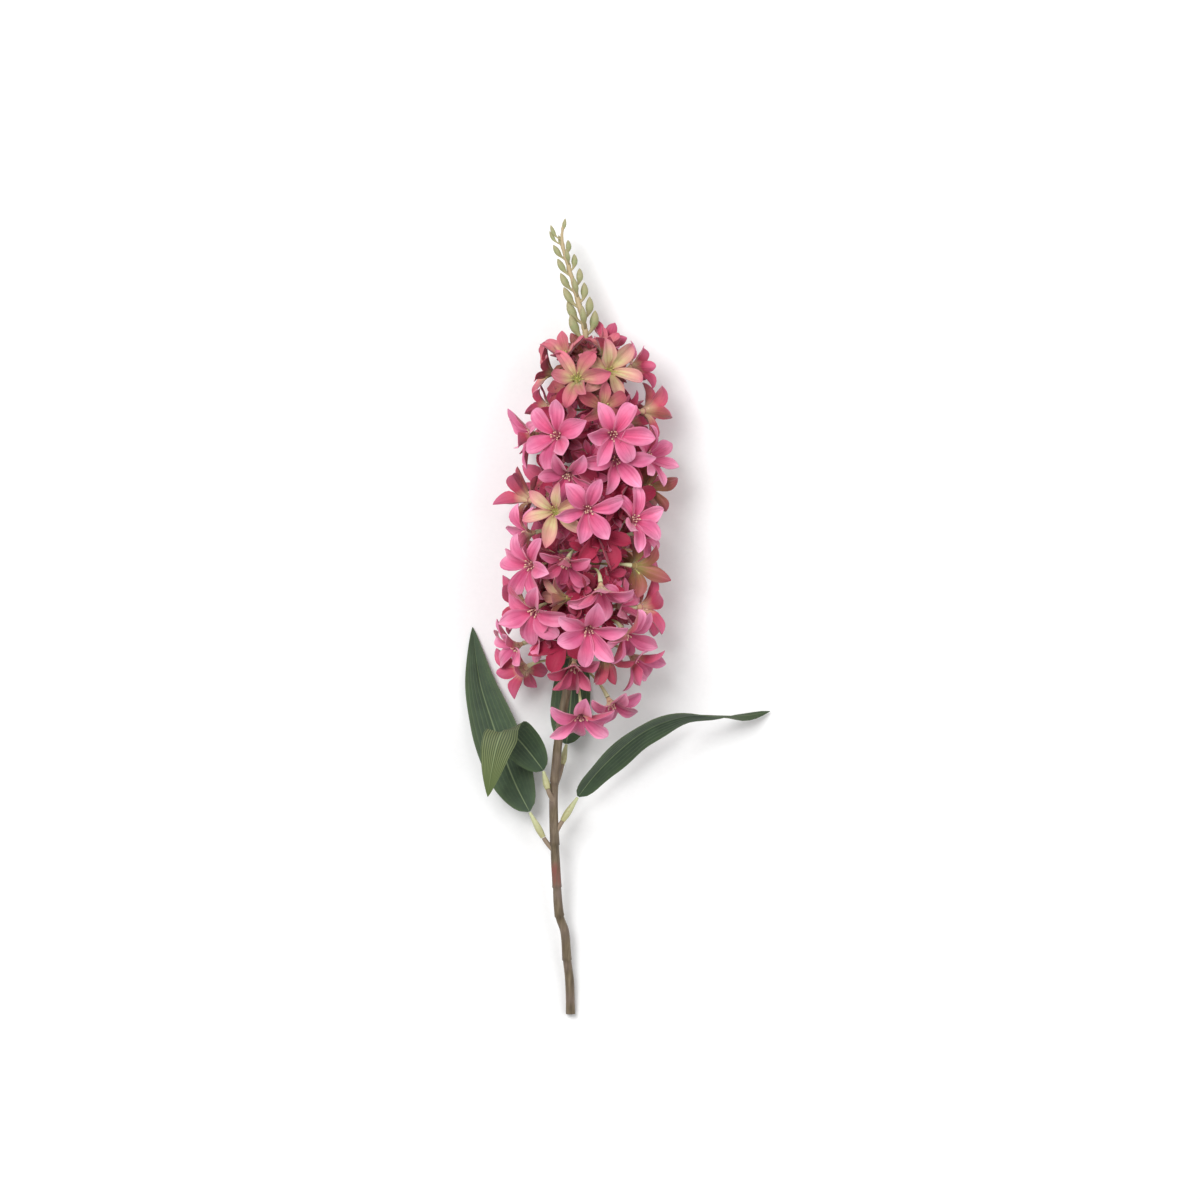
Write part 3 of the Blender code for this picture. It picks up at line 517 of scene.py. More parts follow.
def leaf_sheet(leaf):
    """The blade as an open sheet, four strips wide, that starts narrow and ends in a point."""
    sheet = bmesh.new()
    shares = [(row / LEAF_ROWS) ** 1.25 for row in range(LEAF_ROWS)]
    acrosses = (-1, -0.5, 0, 0.5, 1)
    rows = [
        [sheet.verts.new(leaf_point(leaf, share, across)) for across in acrosses]
        for share in shares
    ]
    tip = sheet.verts.new(leaf_point(leaf, 1, 0))
    for low, high in zip(rows, rows[1:]):
        for left in range(len(acrosses) - 1):
            sheet.faces.new((low[left], high[left], high[left + 1]))
            sheet.faces.new((low[left], high[left + 1], low[left + 1]))
    for left in range(len(acrosses) - 1):
        sheet.faces.new((rows[-1][left], tip, rows[-1][left + 1]))
    return sheet


# Florets


def throat(floret):
    """Where the petals of a floret meet, at its distance from the stem."""
    centre = stem_point(floret.along)
    (radius,) = values_at(THROAT_RADIUS, floret.along)
    radius += floret.push
    out = Vector((math.sin(floret.turn), 0, math.cos(floret.turn)))
    point = centre + out * radius
    point.z = max(point.z, LOWEST_THROAT)
    return point


def axis_core(extra):
    """The flower axis without its stalks, grown by some clearance."""
    return tube(tapering(AXIS_REACH, AXIS_RADII, AXIS_RINGS, extra), AXIS_SIDES)


def floret_frame(floret):
    """The floret's own axes as a matrix: +Z is the way it faces and +X is to its right."""
    facing = Vector(floret.face).normalized()
    right = Vector((facing.z, 0, -facing.x)).normalized()
    turn = Matrix((right, facing.cross(right), facing)).transposed()
    return Matrix.Translation(throat(floret)) @ turn.to_4x4()


def petal_spine(floret, frame, index):
    """Stations along a petal's midrib, which leaves the cup steeply, opens and bends at its tip.

    Where it would go through the table, it turns and lies on it."""
    draw = random.Random(floret.seed * PETALS + index)
    angle = floret.roll + math.tau * index / PETALS + math.radians(draw.uniform(-3, 3))
    widest = floret.open + math.radians(draw.uniform(-6, 6) + 4 * (-1) ** index)
    tip_bend = math.radians(draw.uniform(4, 26))
    length = floret.length * draw.uniform(0.94, 1.05)
    twist = math.radians(draw.uniform(-11, 11))
    turn = frame.to_3x3()
    out = turn @ Vector((math.cos(angle), math.sin(angle), 0))
    around = turn @ Vector((-math.sin(angle), math.cos(angle), 0))
    facing = turn @ Vector((0, 0, 1))
    point = frame.translation + out * CUP_RIM
    stations = []
    for step in range(PETAL_STEPS + 1):
        share = step / PETAL_STEPS
        lean = widest - (widest - THROAT_ANGLE) * math.exp(-share * 6) + tip_bend * share**2
        ahead = out * math.sin(lean) + facing * math.cos(lean)
        front = around.cross(ahead) * -1
        side = around * math.cos(twist * share) + front * math.sin(twist * share)
        step_length = length / PETAL_STEPS
        if point.z + ahead.z * step_length < TABLE_TOUCH:
            ahead = Vector((ahead.x, ahead.y, 0)).normalized()
            side = Vector((-ahead.y, ahead.x, 0)) * (1 if side.dot((-ahead.y, ahead.x, 0)) > 0 else -1)
        front = ahead.cross(side)
        from_middle = point - frame.translation
        reach = (from_middle - facing * from_middle.dot(facing)).length
        stations.append(Station(point.copy(), ahead, side, front, reach))
        point += ahead * step_length
    return stations


def petal_width(length, share):
    """Half the petal's width: an egg shape, widest past its middle, with a small point."""
    swell = math.sin(math.pi * share**1.15) ** 0.78 if 0 < share < 1 else 0
    return length * PETAL_HALF_WIDTH * swell + CUP_RIM * 0.5 * (1 - share)


def spine_place(spine, share):
    """The midrib's station at a share of the petal's length."""
    place = share * PETAL_STEPS
    index = min(int(place), PETAL_STEPS - 1)
    low, high, part = spine[index], spine[index + 1], place - index
    return Station(
        low.point.lerp(high.point, part),
        low.ahead.lerp(high.ahead, part),
        low.side.lerp(high.side, part),
        low.front.lerp(high.front, part),
        low.reach + (high.reach - low.reach) * part,
    )


def petal_point(floret, spine, share, across):
    """A point of the petal. Its edges rise a little towards its front."""
    place = spine_place(spine, share)
    out = min(petal_width(floret.length, share), place.reach * PETAL_ROOM) * across
    point = place.point + place.side * out + place.front * abs(out) * PETAL_CUP * abs(across)
    point.z = max(point.z, TABLE_TOUCH)
    return point


def corolla_sheet(floret):
    """The floret's cloth as one open sheet: a cup on a small flat foot, and petals on its rim."""
    sheet = bmesh.new()
    frame = floret_frame(floret)

    def circle(radius, height, corners):
        angles = [floret.roll + math.tau * (index + 0.5) / corners for index in range(corners)]
        return [
            sheet.verts.new(frame @ Vector((radius * math.cos(a), radius * math.sin(a), height)))
            for a in angles
        ]

    rim, foot = circle(CUP_RIM, 0, PETALS), circle(CUP_FOOT, -CUP_DEPTH, PETALS // 2)
    sheet.faces.new(foot)
    for index in range(PETALS):
        left, right = rim[index - 1], rim[index]
        corner = foot[index // 2]
        sheet.faces.new((corner, left, right))
        if index % 2:
            sheet.faces.new((corner, right, foot[(index // 2 + 1) % len(foot)]))
        spine = petal_spine(floret, frame, index)
        rows = [
            [sheet.verts.new(petal_point(floret, spine, share, across)) for across in (-1, 0, 1)]
            for share in PETAL_ROWS[floret.shown]
        ]
        tip = sheet.verts.new(petal_point(floret, spine, 1, 0))
        sheet.faces.new((left, rows[0][0], rows[0][1]))
        sheet.faces.new((left, rows[0][1], right))
        sheet.faces.new((right, rows[0][1], rows[0][2]))
        for low, high in zip(rows, rows[1:]):
            sheet.faces.new((low[0], high[0], high[1]))
            sheet.faces.new((low[0], high[1], low[1]))
            sheet.faces.new((low[1], high[1], low[2]))
            sheet.faces.new((high[1], high[2], low[2]))
        sheet.faces.new((rows[-1][0], tip, rows[-1][1]))
        sheet.faces.new((rows[-1][1], tip, rows[-1][2]))
    bmesh.ops.triangulate(sheet, faces=[f for f in sheet.faces if len(f.verts) > 3])
    return sheet


def stalk_bends(floret, extra=0.0):
    """The four corner points of a stalk's curve, from inside the flower axis to the cup's foot."""
    frame = floret_frame(floret)
    facing = frame.to_3x3() @ Vector((0, 0, 1))
    end = frame @ Vector((0, 0, -CUP_DEPTH - CLOTH / 2 - SEAT_GAP - extra))
    low, high = HEAD_START + STALK_LOWEST, AXIS_END - STALK_HIGHEST
    root = stem_point(min(max(floret.along - facing.y * STALK_REACH, low), high))
    reach = (end - root).length
    leave = root.lerp(end, 0.35)
    arrive = end - facing * reach * 0.4
    return root, leave, arrive, end


def stalk(floret, extra):
    """The stalk as a plain tube that flares at the cup's foot, grown by some clearance."""
    root, leave, arrive, end = stalk_bends(floret, extra)
    reach = (end - root).length
    flare = 1 - STALK_FLARE_LENGTH / max(reach, 2 * STALK_FLARE_LENGTH)
    curve = along_bezier(root, leave, arrive, end, (0, 0.5 * flare, flare, 1))
    radii = (STALK_RADIUS, STALK_RADIUS, STALK_RADIUS, STALK_FLARE)
    stations = [(point, ahead, radius + extra) for (point, ahead), radius in zip(curve, radii)]
    return tube(stations, STALK_SIDES)


def shell(sheet, gap):
    """The points and faces of a sheet grown by a gap to both of its sides."""
    sheet.normal_update()
    sheet.verts.index_update()
    faces = [[v.index for v in f.verts] for f in sheet.faces]
    count = len(sheet.verts)
    faces += [[i + count for i in face] for face in faces]
    borders = [[v.index for v in e.verts] for e in sheet.edges if e.is_boundary]
    faces += [[start, end, end + count, start + count] for start, end in borders]
    points = [v.co + v.normal * gap for v in sheet.verts] + [v.co - v.normal * gap for v in sheet.verts]
    return points, faces


def sheet_tree(sheet, gap):
    """A search tree of a grown sheet."""
    return BVHTree.FromPolygons(*shell(sheet, gap))


def crosses_itself(sheet):
    """Whether the thickened sheet would cross itself, or nearly so."""
    points, faces = shell(sheet, CLOTH * 0.56)
    tree = BVHTree.FromPolygons(points, faces)
    corners = [set(face) for face in faces]
    return any(not corners[one] & corners[other] for one, other in tree.overlap(tree))


def shown_florets():
    """The florets that show from above."""
    for row, (tint, along, turn, push, face, roll, length, widest) in enumerate(SHOWN_FLORETS):
        yield Floret(
            tint,
            along * MM,
            math.radians(turn),
            push * MM,
            face,
            math.radians(roll),
            length * MM,
            math.radians(widest),
            SEED + row,
            True,
        )


def hidden_florets(hidden):
    """Rows of florets along the spike that face away from the stem."""
    for row, (along, *turns) in enumerate(hidden.rows):
        for turn in turns:
            angle = math.radians(turn)
            yield Floret(
                hidden.tint,
                along * MM,
                angle,
                hidden.push,
                (math.sin(angle), 0.12 * (-1) ** row, math.cos(angle)),
                math.radians(17 * row),
                hidden.length,
                hidden.open,
                hidden.seed + row,
                False,
            )


def small_changes(floret):
    """The floret as planned, then with shorter or less open petals, or moved or turned a little."""
    for shorter, shifted, closed in itertools.product(SHORTER, SHIFTED, CLOSED):
        for pushed, (draw, turned) in itertools.product(PUSHED, enumerate(TURNED)):
            yield floret._replace(
                length=floret.length * shorter,
                along=floret.along + shifted,
                open=floret.open - closed,
                push=floret.push + pushed,
                roll=floret.roll + turned,
                seed=floret.seed + 1000 * draw,
            )


def settle(plans, fixed):
    """Groups of florets, each in the first small change where it and its stalk clear the others.

    A hidden floret may cross hidden ones of its colour. They are one group and become one body.
    The first of the fixed trees is the flower axis, which the stalks grow from."""
    groups, cloths, stalks = [], [], []
    for plan in plans:
        for floret in small_changes(plan):
            sheet = corolla_sheet(floret)
            cloth = sheet_tree(sheet, CLEARANCE)
            if any(cloth.overlap(other) for other in fixed + stalks):
                continue
            own_stalk = BVHTree.FromBMesh(stalk(floret, STALK_CLEARANCE))
            if any(own_stalk.overlap(other) for other in fixed[1:] + [c for _, _, c, _ in cloths]):
                continue
            if crosses_itself(sheet):
                continue
            bare = sheet_tree(sheet, 0)
            near = [(kept, crossed) for kept, crossed, other, _ in cloths if cloth.overlap(other)]
            met = [other for _, other in near]
            if not met and len(groups) == MOST_GROUPS:
                continue
            if met:
                alike = {id(group) for _, group in near}
                if floret.shown or len(alike) > 1:
                    continue
                if any(kept.shown or kept.tint != floret.tint for kept, _ in near):
                    continue
                if not any(bare.overlap(other) for kept, _, _, other in cloths if kept in met[0]):
                    continue
            group = met[0] if met else []
            if not met:
                groups.append(group)
            group.append(floret)
            cloths.append((floret, group, cloth, bare))
            stalks.append(own_stalk)
            break
    return groups


# Bud tip


def bud_plans():
    """Each bud's place along the stem, turn about it, length, spread and half width. They grow
    smaller towards the tip, where three small ones stand on longer necks."""
    for index in range(BUDS):
        share = index / (BUDS - 1)
        length = between(BUD_LENGTHS, share)
        turn = math.radians(BUD_TURNS[index % len(BUD_TURNS)] + 6 * math.sin(index * 2.3))
        yield between(BUDS_REACH, share), turn, length, BUD_SPREAD, length * BUD_SLIMNESS
    for along, turn, length, spread, belly in TOP_BUDS_MM:
        yield along * MM, math.radians(turn), length * MM, spread, belly * MM


def bud_bends(along, turn, length, spread):
    """The four corner points of a bud's curve, which leaves the stem sideways and turns up."""
    start, up = stem_point(along), stem_direction(along) * length
    out = Vector((math.sin(turn), 0, math.cos(turn))) * length * spread
    return start, start + out * 0.8 + up * 0.1, start + out + up * 0.55, start + out * 1.2 + up


def bud(along, turn, length, spread, belly, extra):
    """A plain closed bud on a short neck, grown by some clearance."""
    curve = along_bezier(*bud_bends(along, turn, length, spread), [share for share, _ in BUD_PROFILE])
    stations = [
        (point, ahead, belly * width + extra) for (point, ahead), (_, width) in zip(curve, BUD_PROFILE)
    ]
    return tube(stations, BUD_SIDES)


def tip_tree(extra):
    """A search tree of the bud tip, grown by some clearance."""
    points, faces = [], []
    thin_stem = tube(tapering(TIP_REACH, TIP_RADII, TIP_RINGS, extra), TIP_SIDES)
    for mesh in [thin_stem, *(bud(*plan, extra) for plan in bud_plans())]:
        mesh.verts.index_update()
        faces += [[vert.index + len(points) for vert in face.verts] for face in mesh.faces]
        points += [vert.co.copy() for vert in mesh.verts]
        mesh.free()
    return BVHTree.FromPolygons(points, faces)


# The values that each point of a finished piece carries for its material
VALUES = ("along", "across", "side", "tone")

# Edges of the finished pieces are shown sharp from this angle on, in degrees
SHARP_FROM = 55

# Fine stem: its sides and rings, the grooves along it, and the sleeves' rims
STEM_FINE_SIDES = 28
STEM_FINE_EVERY = 2.5 * MM
STEM_GROOVES = 0.2 * MM
SLEEVE_LIP = 0.22 * MM
SLEEVE_LIP_LENGTH = 1.6 * MM
SLEEVE_WALL = 0.8 * MM

# Insets of the cut end, from its rim inwards: how wide and how deep the sleeve, gap and wire are
CUT_INSETS = ((SLEEVE_WALL, 0), (0.05 * MM, -1.5 * MM), (0.5 * MM, 0), (0.05 * MM, 1.2 * MM))

# Fine stubs and collars
STUB_SHARES = (0, 0.2, 0.4, 0.6, 0.8, 1)
STUB_FINE_SIDES = 16
COLLAR_FINE_SIDES = 20
COLLAR_FINE_RINGS = 15
COLLAR_RIBS = 5
COLLAR_RIB = 0.06

# Fine leaves, with steps across and along that crowd towards the midrib and the stalk
LEAF_STEPS = (14, 34)
LEAF_CROWDING = (1.35, 1.1)
LEAF_CLOTH = 0.45 * MM
LEAF_GROOVE = 0.4 * MM
LEAF_GROOVE_WIDTH = 0.07
LEAF_RUFFLE = 0.45 * MM
LEAF_WAVES = (23, 2)

# The leaf that was moulded with pale veins on its back
PALE_BACKED = "leaf_left_folded"

# Fine stalks, flower axis and bud tip
STALK_FINE_SIDES = 8
STALK_FINE_RINGS = 8
STALK_CROWDING = 0.8
STALK_FLARE_FROM = 0.6
AXIS_FINE_SIDES = 18
AXIS_FINE_RINGS = 60
TIP_FINE_SIDES = 14
TIP_FINE_RINGS = 40
TIP_KNOBS = 0.5
TIP_KNOB_SIZE = 3.5 * MM
BUD_FINE_SIDES = 10
BUD_FINE_RINGS = 10
BUD_FLATNESS = 0.25

# Petals of the finished florets, in steps across and along that crowd towards the tip
PETAL_STEPS_SHOWN = (6, 10)
PETAL_STEPS_HIDDEN = (4, 6)
PETAL_CROWDING = 1.4
PETAL_CLOTH = 0.32 * MM
PETAL_CREASE = 0.5 * MM
PETAL_CREASE_WIDTH = 0.26
PETAL_RUFFLE = 0.8 * MM
PETAL_WAVES = (9, 1.5)
PETAL_POINT = 0.15 * MM
PETAL_FINE_ROOM = math.tan(math.radians(31))
PETAL_SLIMNESS = {"pink": 1.06, "coral": 1.02, "cream": 0.92}
PETAL_SWAY = 0.1
PETAL_CLAW = 1.2
PETAL_ROUNDNESS = (0.62, 1.0)
TABLE_GAP = 0.1 * MM

# How the petals of a floret differ: in degrees, and as factors of their length, width, cup, fold
# and crease
LOOSE_ANGLE = 6
LOOSE_OPEN = 18
LAYER_OPEN = 5
LOOSE_BEND = 46
LOOSE_TWIST = 40
LOOSE_LENGTH = (0.86, 1.06)
LOOSE_WIDTH = (0.78, 1.06)
LOOSE_CUP = (0.2, 2.1)
LOOSE_FOLD = (0.0, 0.46)
LOOSE_CREASE = (0.4, 1.0)

# How far a petal keeps its own bends and turns: less where it would cross another floret
LOOSENESS = (1.0, 0.55, 0.2)

# Florets that fill the head under the shown ones: rows along the spike, turns about the stem in
# degrees, how far each of them is shifted, turned, tilted and open, and the sizes that are tried
FILLER_ALONGS = (-12 * MM, 152 * MM)
FILLER_ROWS = 13
FILLER_TURNS = (-105, -55, -5, 45)
FILLER_STAGGER = 50
FILLER_TURN_SHIFT = 9
FILLER_ALONG_SHIFT = 3 * MM
FILLER_TILT = 0.4
FILLER_RADIUS = 0.58
FILLER_LENGTH = 22 * MM
FILLER_LENGTH_SHARE = 0.65
FILLER_OPENS = (52, 76)
FILLER_SIZES = (1.0, 0.82, 0.66, 0.52)
FILLER_SEEDS = 500
CORAL_FROM = 140 * MM

# Painted shade: a floret is coloured deeper the nearer it is to the stem, standing in for the shade
# inside the head; the same deep colours also give the crown florets their own darker colour. At this
# depth it has its deepest colour
SHADE_DEPTH = 16 * MM
TONE_BY_FLORET = 0.8
TONE_BY_PETAL = 0.15

# Half-open florets that crowd the top of the head
CROWN_ALONGS = (158 * MM, 183 * MM)
CROWN_FLORETS = 22
CROWN_LENGTHS = (15 * MM, 12 * MM)
CROWN_OPENS = (60, 24)
CROWN_RADII = (14 * MM, 6 * MM)
CROWN_SEEDS = 900
GOLDEN_TURN = 137.5

# The cup of a floret: height and radius in mm, from its foot over its rim and down into the throat
THROAT_SIDES = 12
THROAT_MM = ((-3.6, 1.35), (-2.4, 1.7), (-1.0, 2.3), (0.1, 2.6), (-0.2, 2.2), (-1.1, 1.5), (-1.6, 0.6))
THROAT_OUTSIDE = 3

# Stamens: filaments with an anther, around a thicker pistil. Lengths in mm, leans in degrees
STAMENS = 9
STAMEN_SIDES = 4
STAMEN_LENGTHS = (4.0, 7.0)
STAMEN_LEANS = (6, 48)
STAMEN_ROOT = 1.0 * MM
STAMEN_DEPTH = 1.2 * MM
STAMEN_PROFILE = ((0.0, 0.3), (0.4, 0.24), (0.7, 0.22), (0.78, 0.55), (0.9, 0.6), (1.0, 0.25))
PISTIL_PROFILE = ((0.0, 0.4), (0.5, 0.3), (0.85, 0.28), (0.93, 0.55), (1.0, 0.3))
PISTIL_LENGTH = 7.0
PISTIL_DEPTH = 1.5 * MM
STAMEN_SEEDS = 7

# The view: the plane that the photograph's scale holds for, and what the frame covers there
VIEW_CENTRE = (-11.6 * MM, 11.9 * MM)
VIEW_PLANE = 30 * MM
VIEW_WIDTH = 816 * MM
VIEW_HEIGHT = 5.0
VIEW_REACH = 40
SENSOR = 36

# Studio: floor, sky and lamps, each with its place and size in metres and its power in watts
FLOOR_RADIUS = 12.0
FLOOR_SIDES = 64
PAPER_WHITE = (0.9, 0.9, 0.9, 1)
PAPER_SHADE = (0.87, 0.87, 0.87, 1)
SKY_STRENGTH = 0.46
LAMPS = (
    ("key_lamp", (-1.0, 0.9, 2.4), 1.4, 61),
    ("fill_lamp", (1.5, 0.2, 1.9), 1.8, 18),
)

# The reddish scar on the stem
STEM_SCAR = -175 * MM
STEM_SCAR_LENGTH = 9 * MM

# The stamens of the pink florets, and of the lime-hearted ones: name, tints, slot and lime tone
STAMEN_SETS = (
    ("stamens_pink", ("pink",), "petal_pink", 0.0),
    ("stamens_lime", ("coral", "cream"), "petal_cream", 1.0),
)


# Fine shapes


def start_mesh():
    """An empty bmesh with the values that the finishes read at each point."""
    mesh = bmesh.new()
    for name in VALUES:
        mesh.verts.layers.float.new(name)
    return mesh


def set_values(mesh, verts, **values):
    """Sets some of the values at points of a mesh."""
    for name, value in values.items():
        layer = mesh.verts.layers.float[name]
        for vert in verts:
            vert[layer] = value


def add_part(mesh, part):
    """Adds a closed part to a mesh, with its values."""
    data = bpy.data.meshes.new("part")
    part.to_mesh(data)
    part.free()
    mesh.from_mesh(data)
    bpy.data.meshes.remove(data)


def fine_tube(stations, sides, tone=0.0):
    """A round closed tube of quads. Its along value grows from 0 at its start to 1 at its end."""
    mesh = start_mesh()
    rings = add_rings(mesh, stations, sides)
    for index, edges in enumerate(rings):
        around = {vert for edge in edges for vert in edge.verts}
        set_values(mesh, around, along=index / (len(rings) - 1), tone=tone)
    bmesh.ops.recalc_face_normals(mesh, faces=mesh.faces)
    return mesh


def give_back(mesh, thickness):
    """Makes a sheet into cloth with a back, where the side value is 1."""
    mesh.normal_update()
    back = bmesh.ops.solidify(mesh, geom=mesh.faces[:], thickness=thickness)["geom"]
    set_values(mesh, [part for part in back if isinstance(part, bmesh.types.BMVert)], side=1)


def lay_on_table(mesh, height=0.0):
    """Flattens what would go through the table."""
    for vert in mesh.verts:
        vert.co.z = max(vert.co.z, height)


# Fine stem and collars


def sleeve_lip(along):
    """How far a sleeve's rim stands out just above the joint below it."""
    below = [along - joint for joint in STEM_JOINTS if along > joint]
    return SLEEVE_LIP * math.exp(-min(below) / SLEEVE_LIP_LENGTH) if below else 0.0


def stem_sleeves():
    """The stem's sleeves with their rims and shallow grooves, and the wire in the cut end."""
    stations = [
        (stem_point(y), stem_direction(y), stem_radius(y) + sleeve_lip(y))
        for y in stem_places(STEM_FINE_EVERY)
    ]
    mesh = fine_tube(stations, STEM_FINE_SIDES)
    for vert in mesh.verts:
        out = (vert.co - stem_point(vert.co.y)).normalized()
        spot = Vector((out.x * 2.2, out.z * 2.2, vert.co.y / (16 * MM)))
        vert.co += out * noise.noise(spot) * STEM_GROOVES
    end = min(mesh.faces, key=lambda face: face.calc_center_median().y)
    for thickness, depth in CUT_INSETS:
        bmesh.ops.inset_region(mesh, faces=[end], thickness=thickness, depth=depth)
    set_values(mesh, end.verts, side=1)
    for collar in COLLARS:
        add_part(mesh, fine_stub(collar))
    lay_on_table(mesh)
    return mesh


def fine_stub(collar):
    """The stem's own short branch that a collar is pushed on."""
    root, end = Vector(collar.root) * MM, Vector(collar.stub_end) * MM
    ahead = collar_line(collar)[2]
    arrive = end - ahead * (end - root).length * 0.4
    curve = along_bezier(root, root.lerp(end, 0.4), arrive, end, STUB_SHARES)
    stations = [
        (point, way, between(STUB_RADII, share)) for (point, way), share in zip(curve, STUB_SHARES)
    ]
    return fine_tube(stations, STUB_FINE_SIDES, tone=1)


def fine_collar(collar):
    """A moulded sleeve with shallow ribs along it."""
    low, high, ahead = collar_line(collar)
    stations = []
    for step in range(COLLAR_FINE_RINGS):
        share = step / (COLLAR_FINE_RINGS - 1)
        (radius,) = values_at(COLLAR_PROFILE, share)
        stations.append((low.lerp(high, share), ahead, radius * MM))
    mesh = fine_tube(stations, COLLAR_FINE_SIDES)
    right = ahead.orthogonal().normalized()
    for vert in mesh.verts:
        out = vert.co - low - ahead * (vert.co - low).dot(ahead)
        angle = math.atan2(out.dot(ahead.cross(right)), out.dot(right))
        vert.co += out * COLLAR_RIB * math.cos(COLLAR_RIBS * angle)
    return mesh


# Fine leaves


def leaf_cloth(leaf):
    """A blade of moulded cloth, with a groove along its midrib and slightly ruffled edges."""
    mesh = start_mesh()
    across_steps, along_steps = LEAF_STEPS
    across_crowding, along_crowding = LEAF_CROWDING
    bmesh.ops.create_grid(mesh, x_segments=across_steps, y_segments=along_steps, size=1)
    layers = mesh.verts.layers.float
    for vert in mesh.verts:
        across = math.copysign(abs(vert.co.x) ** across_crowding, vert.co.x)
        share = ((vert.co.y + 1) / 2) ** along_crowding
        vert[layers["across"]] = across
        vert[layers["along"]] = share
        station = leaf_station(leaf, share)
        fade = math.sin(math.pi * min(share * 4, 0.5)) * min(1, (1 - share) * 4)
        ruffle = math.sin(share * LEAF_WAVES[0] + across * LEAF_WAVES[1]) * across**2 * fade
        groove = math.exp(-((across / LEAF_GROOVE_WIDTH) ** 2)) * fade
        rise = LEAF_RUFFLE * ruffle - LEAF_GROOVE * groove
        vert.co = leaf_point(leaf, min(share, 0.999), across) + station.front * rise
    set_values(mesh, mesh.verts, tone=1 if leaf.name == PALE_BACKED else 0)
    lay_on_table(mesh, TABLE_GAP + LEAF_CLOTH)
    give_back(mesh, LEAF_CLOTH)
    lay_on_table(mesh, TABLE_GAP)
    return mesh


# Fine flower axis


def fine_stalk(floret):
    """A round stalk on the line that the florets were placed with."""
    shares = [(step / (STALK_FINE_RINGS - 1)) ** STALK_CROWDING for step in range(STALK_FINE_RINGS)]
    stations = []
    for (point, ahead), share in zip(along_bezier(*stalk_bends(floret), shares), shares):
        flare = max(0, (share - STALK_FLARE_FROM) / (1 - STALK_FLARE_FROM)) ** 2
        stations.append((point, ahead, between((STALK_RADIUS, STALK_FLARE), flare)))
    return fine_tube(stations, STALK_FINE_SIDES, tone=1)


def fine_axis(groups):
    """The flower axis with a round stalk to each floret."""
    mesh = fine_tube(tapering(AXIS_REACH, AXIS_RADII, AXIS_FINE_RINGS), AXIS_FINE_SIDES)
    for floret in itertools.chain(*groups):
        add_part(mesh, fine_stalk(floret))
    lay_on_table(mesh)
    return mesh


# Fine bud tip


def fine_bud(along, turn, length, spread, belly):
    """A closed bud on a short neck, a little flatter towards the stem."""
    shares = [step / (BUD_FINE_RINGS - 1) for step in range(BUD_FINE_RINGS)]
    curve = along_bezier(*bud_bends(along, turn, length, spread), shares)
    stations = []
    for (point, ahead), share in zip(curve, shares):
        (width,) = values_at(BUD_PROFILE, share)
        stations.append((point, ahead, belly * width))
    mesh = fine_tube(stations, BUD_FINE_SIDES, tone=1)
    sideways = stem_direction(along).cross(Vector((math.sin(turn), 0, math.cos(turn)))).normalized()
    for vert in mesh.verts:
        vert.co -= sideways * (vert.co - curve[0][0]).dot(sideways) * BUD_FLATNESS
    return mesh


def fine_bud_tip():
    """The moulded spray of buds on its thin stem, which is knobbly where the necks leave it."""
    mesh = fine_tube(tapering(TIP_REACH, TIP_RADII, TIP_FINE_RINGS), TIP_FINE_SIDES)
    for vert in mesh.verts:
        middle = stem_point(vert.co.y)
        vert.co += (vert.co - middle) * noise.noise(vert.co / TIP_KNOB_SIZE) * TIP_KNOBS
    for plan in bud_plans():
        add_part(mesh, fine_bud(*plan))
    return mesh


# Fine florets


def loose_spine(floret, frame, index, looseness, draw):
    """A petal's spine where the petal is bent, turned and twisted a little on its own."""
    turned, opened, bend, twist = (
        math.radians(draw.uniform(-most, most)) * looseness
        for most in (LOOSE_ANGLE, LOOSE_OPEN, LOOSE_BEND, LOOSE_TWIST)
    )
    changed = floret._replace(
        roll=floret.roll + turned,
        open=floret.open + opened + math.radians(LAYER_OPEN) * (-1) ** index,
        length=floret.length * draw.uniform(*LOOSE_LENGTH),
    )
    spine = petal_spine(changed, frame, index)
    loose, point = [], spine[0].point.copy()
    for step, station in enumerate(spine):
        share = step / PETAL_STEPS
        lift = Matrix.Rotation(bend * share**2, 3, station.side)
        roll = Matrix.Rotation(twist * share, 3, station.ahead)
        ahead, side = lift @ station.ahead, roll @ station.side
        loose.append(Station(point.copy(), ahead, side, ahead.cross(side), station.reach))
        point += ahead * changed.length / PETAL_STEPS
    return loose


def fine_petal_width(length, share, roundness):
    """Half the petal's width: narrow at the cup, widest past its middle, with a rounded tip."""
    widest = PETAL_CLAW / (PETAL_CLAW + roundness)
    most = widest**PETAL_CLAW * (1 - widest) ** roundness
    swell = share**PETAL_CLAW * (1 - share) ** roundness / most
    return length * PETAL_HALF_WIDTH * swell + CUP_RIM * 0.4 * (1 - share)


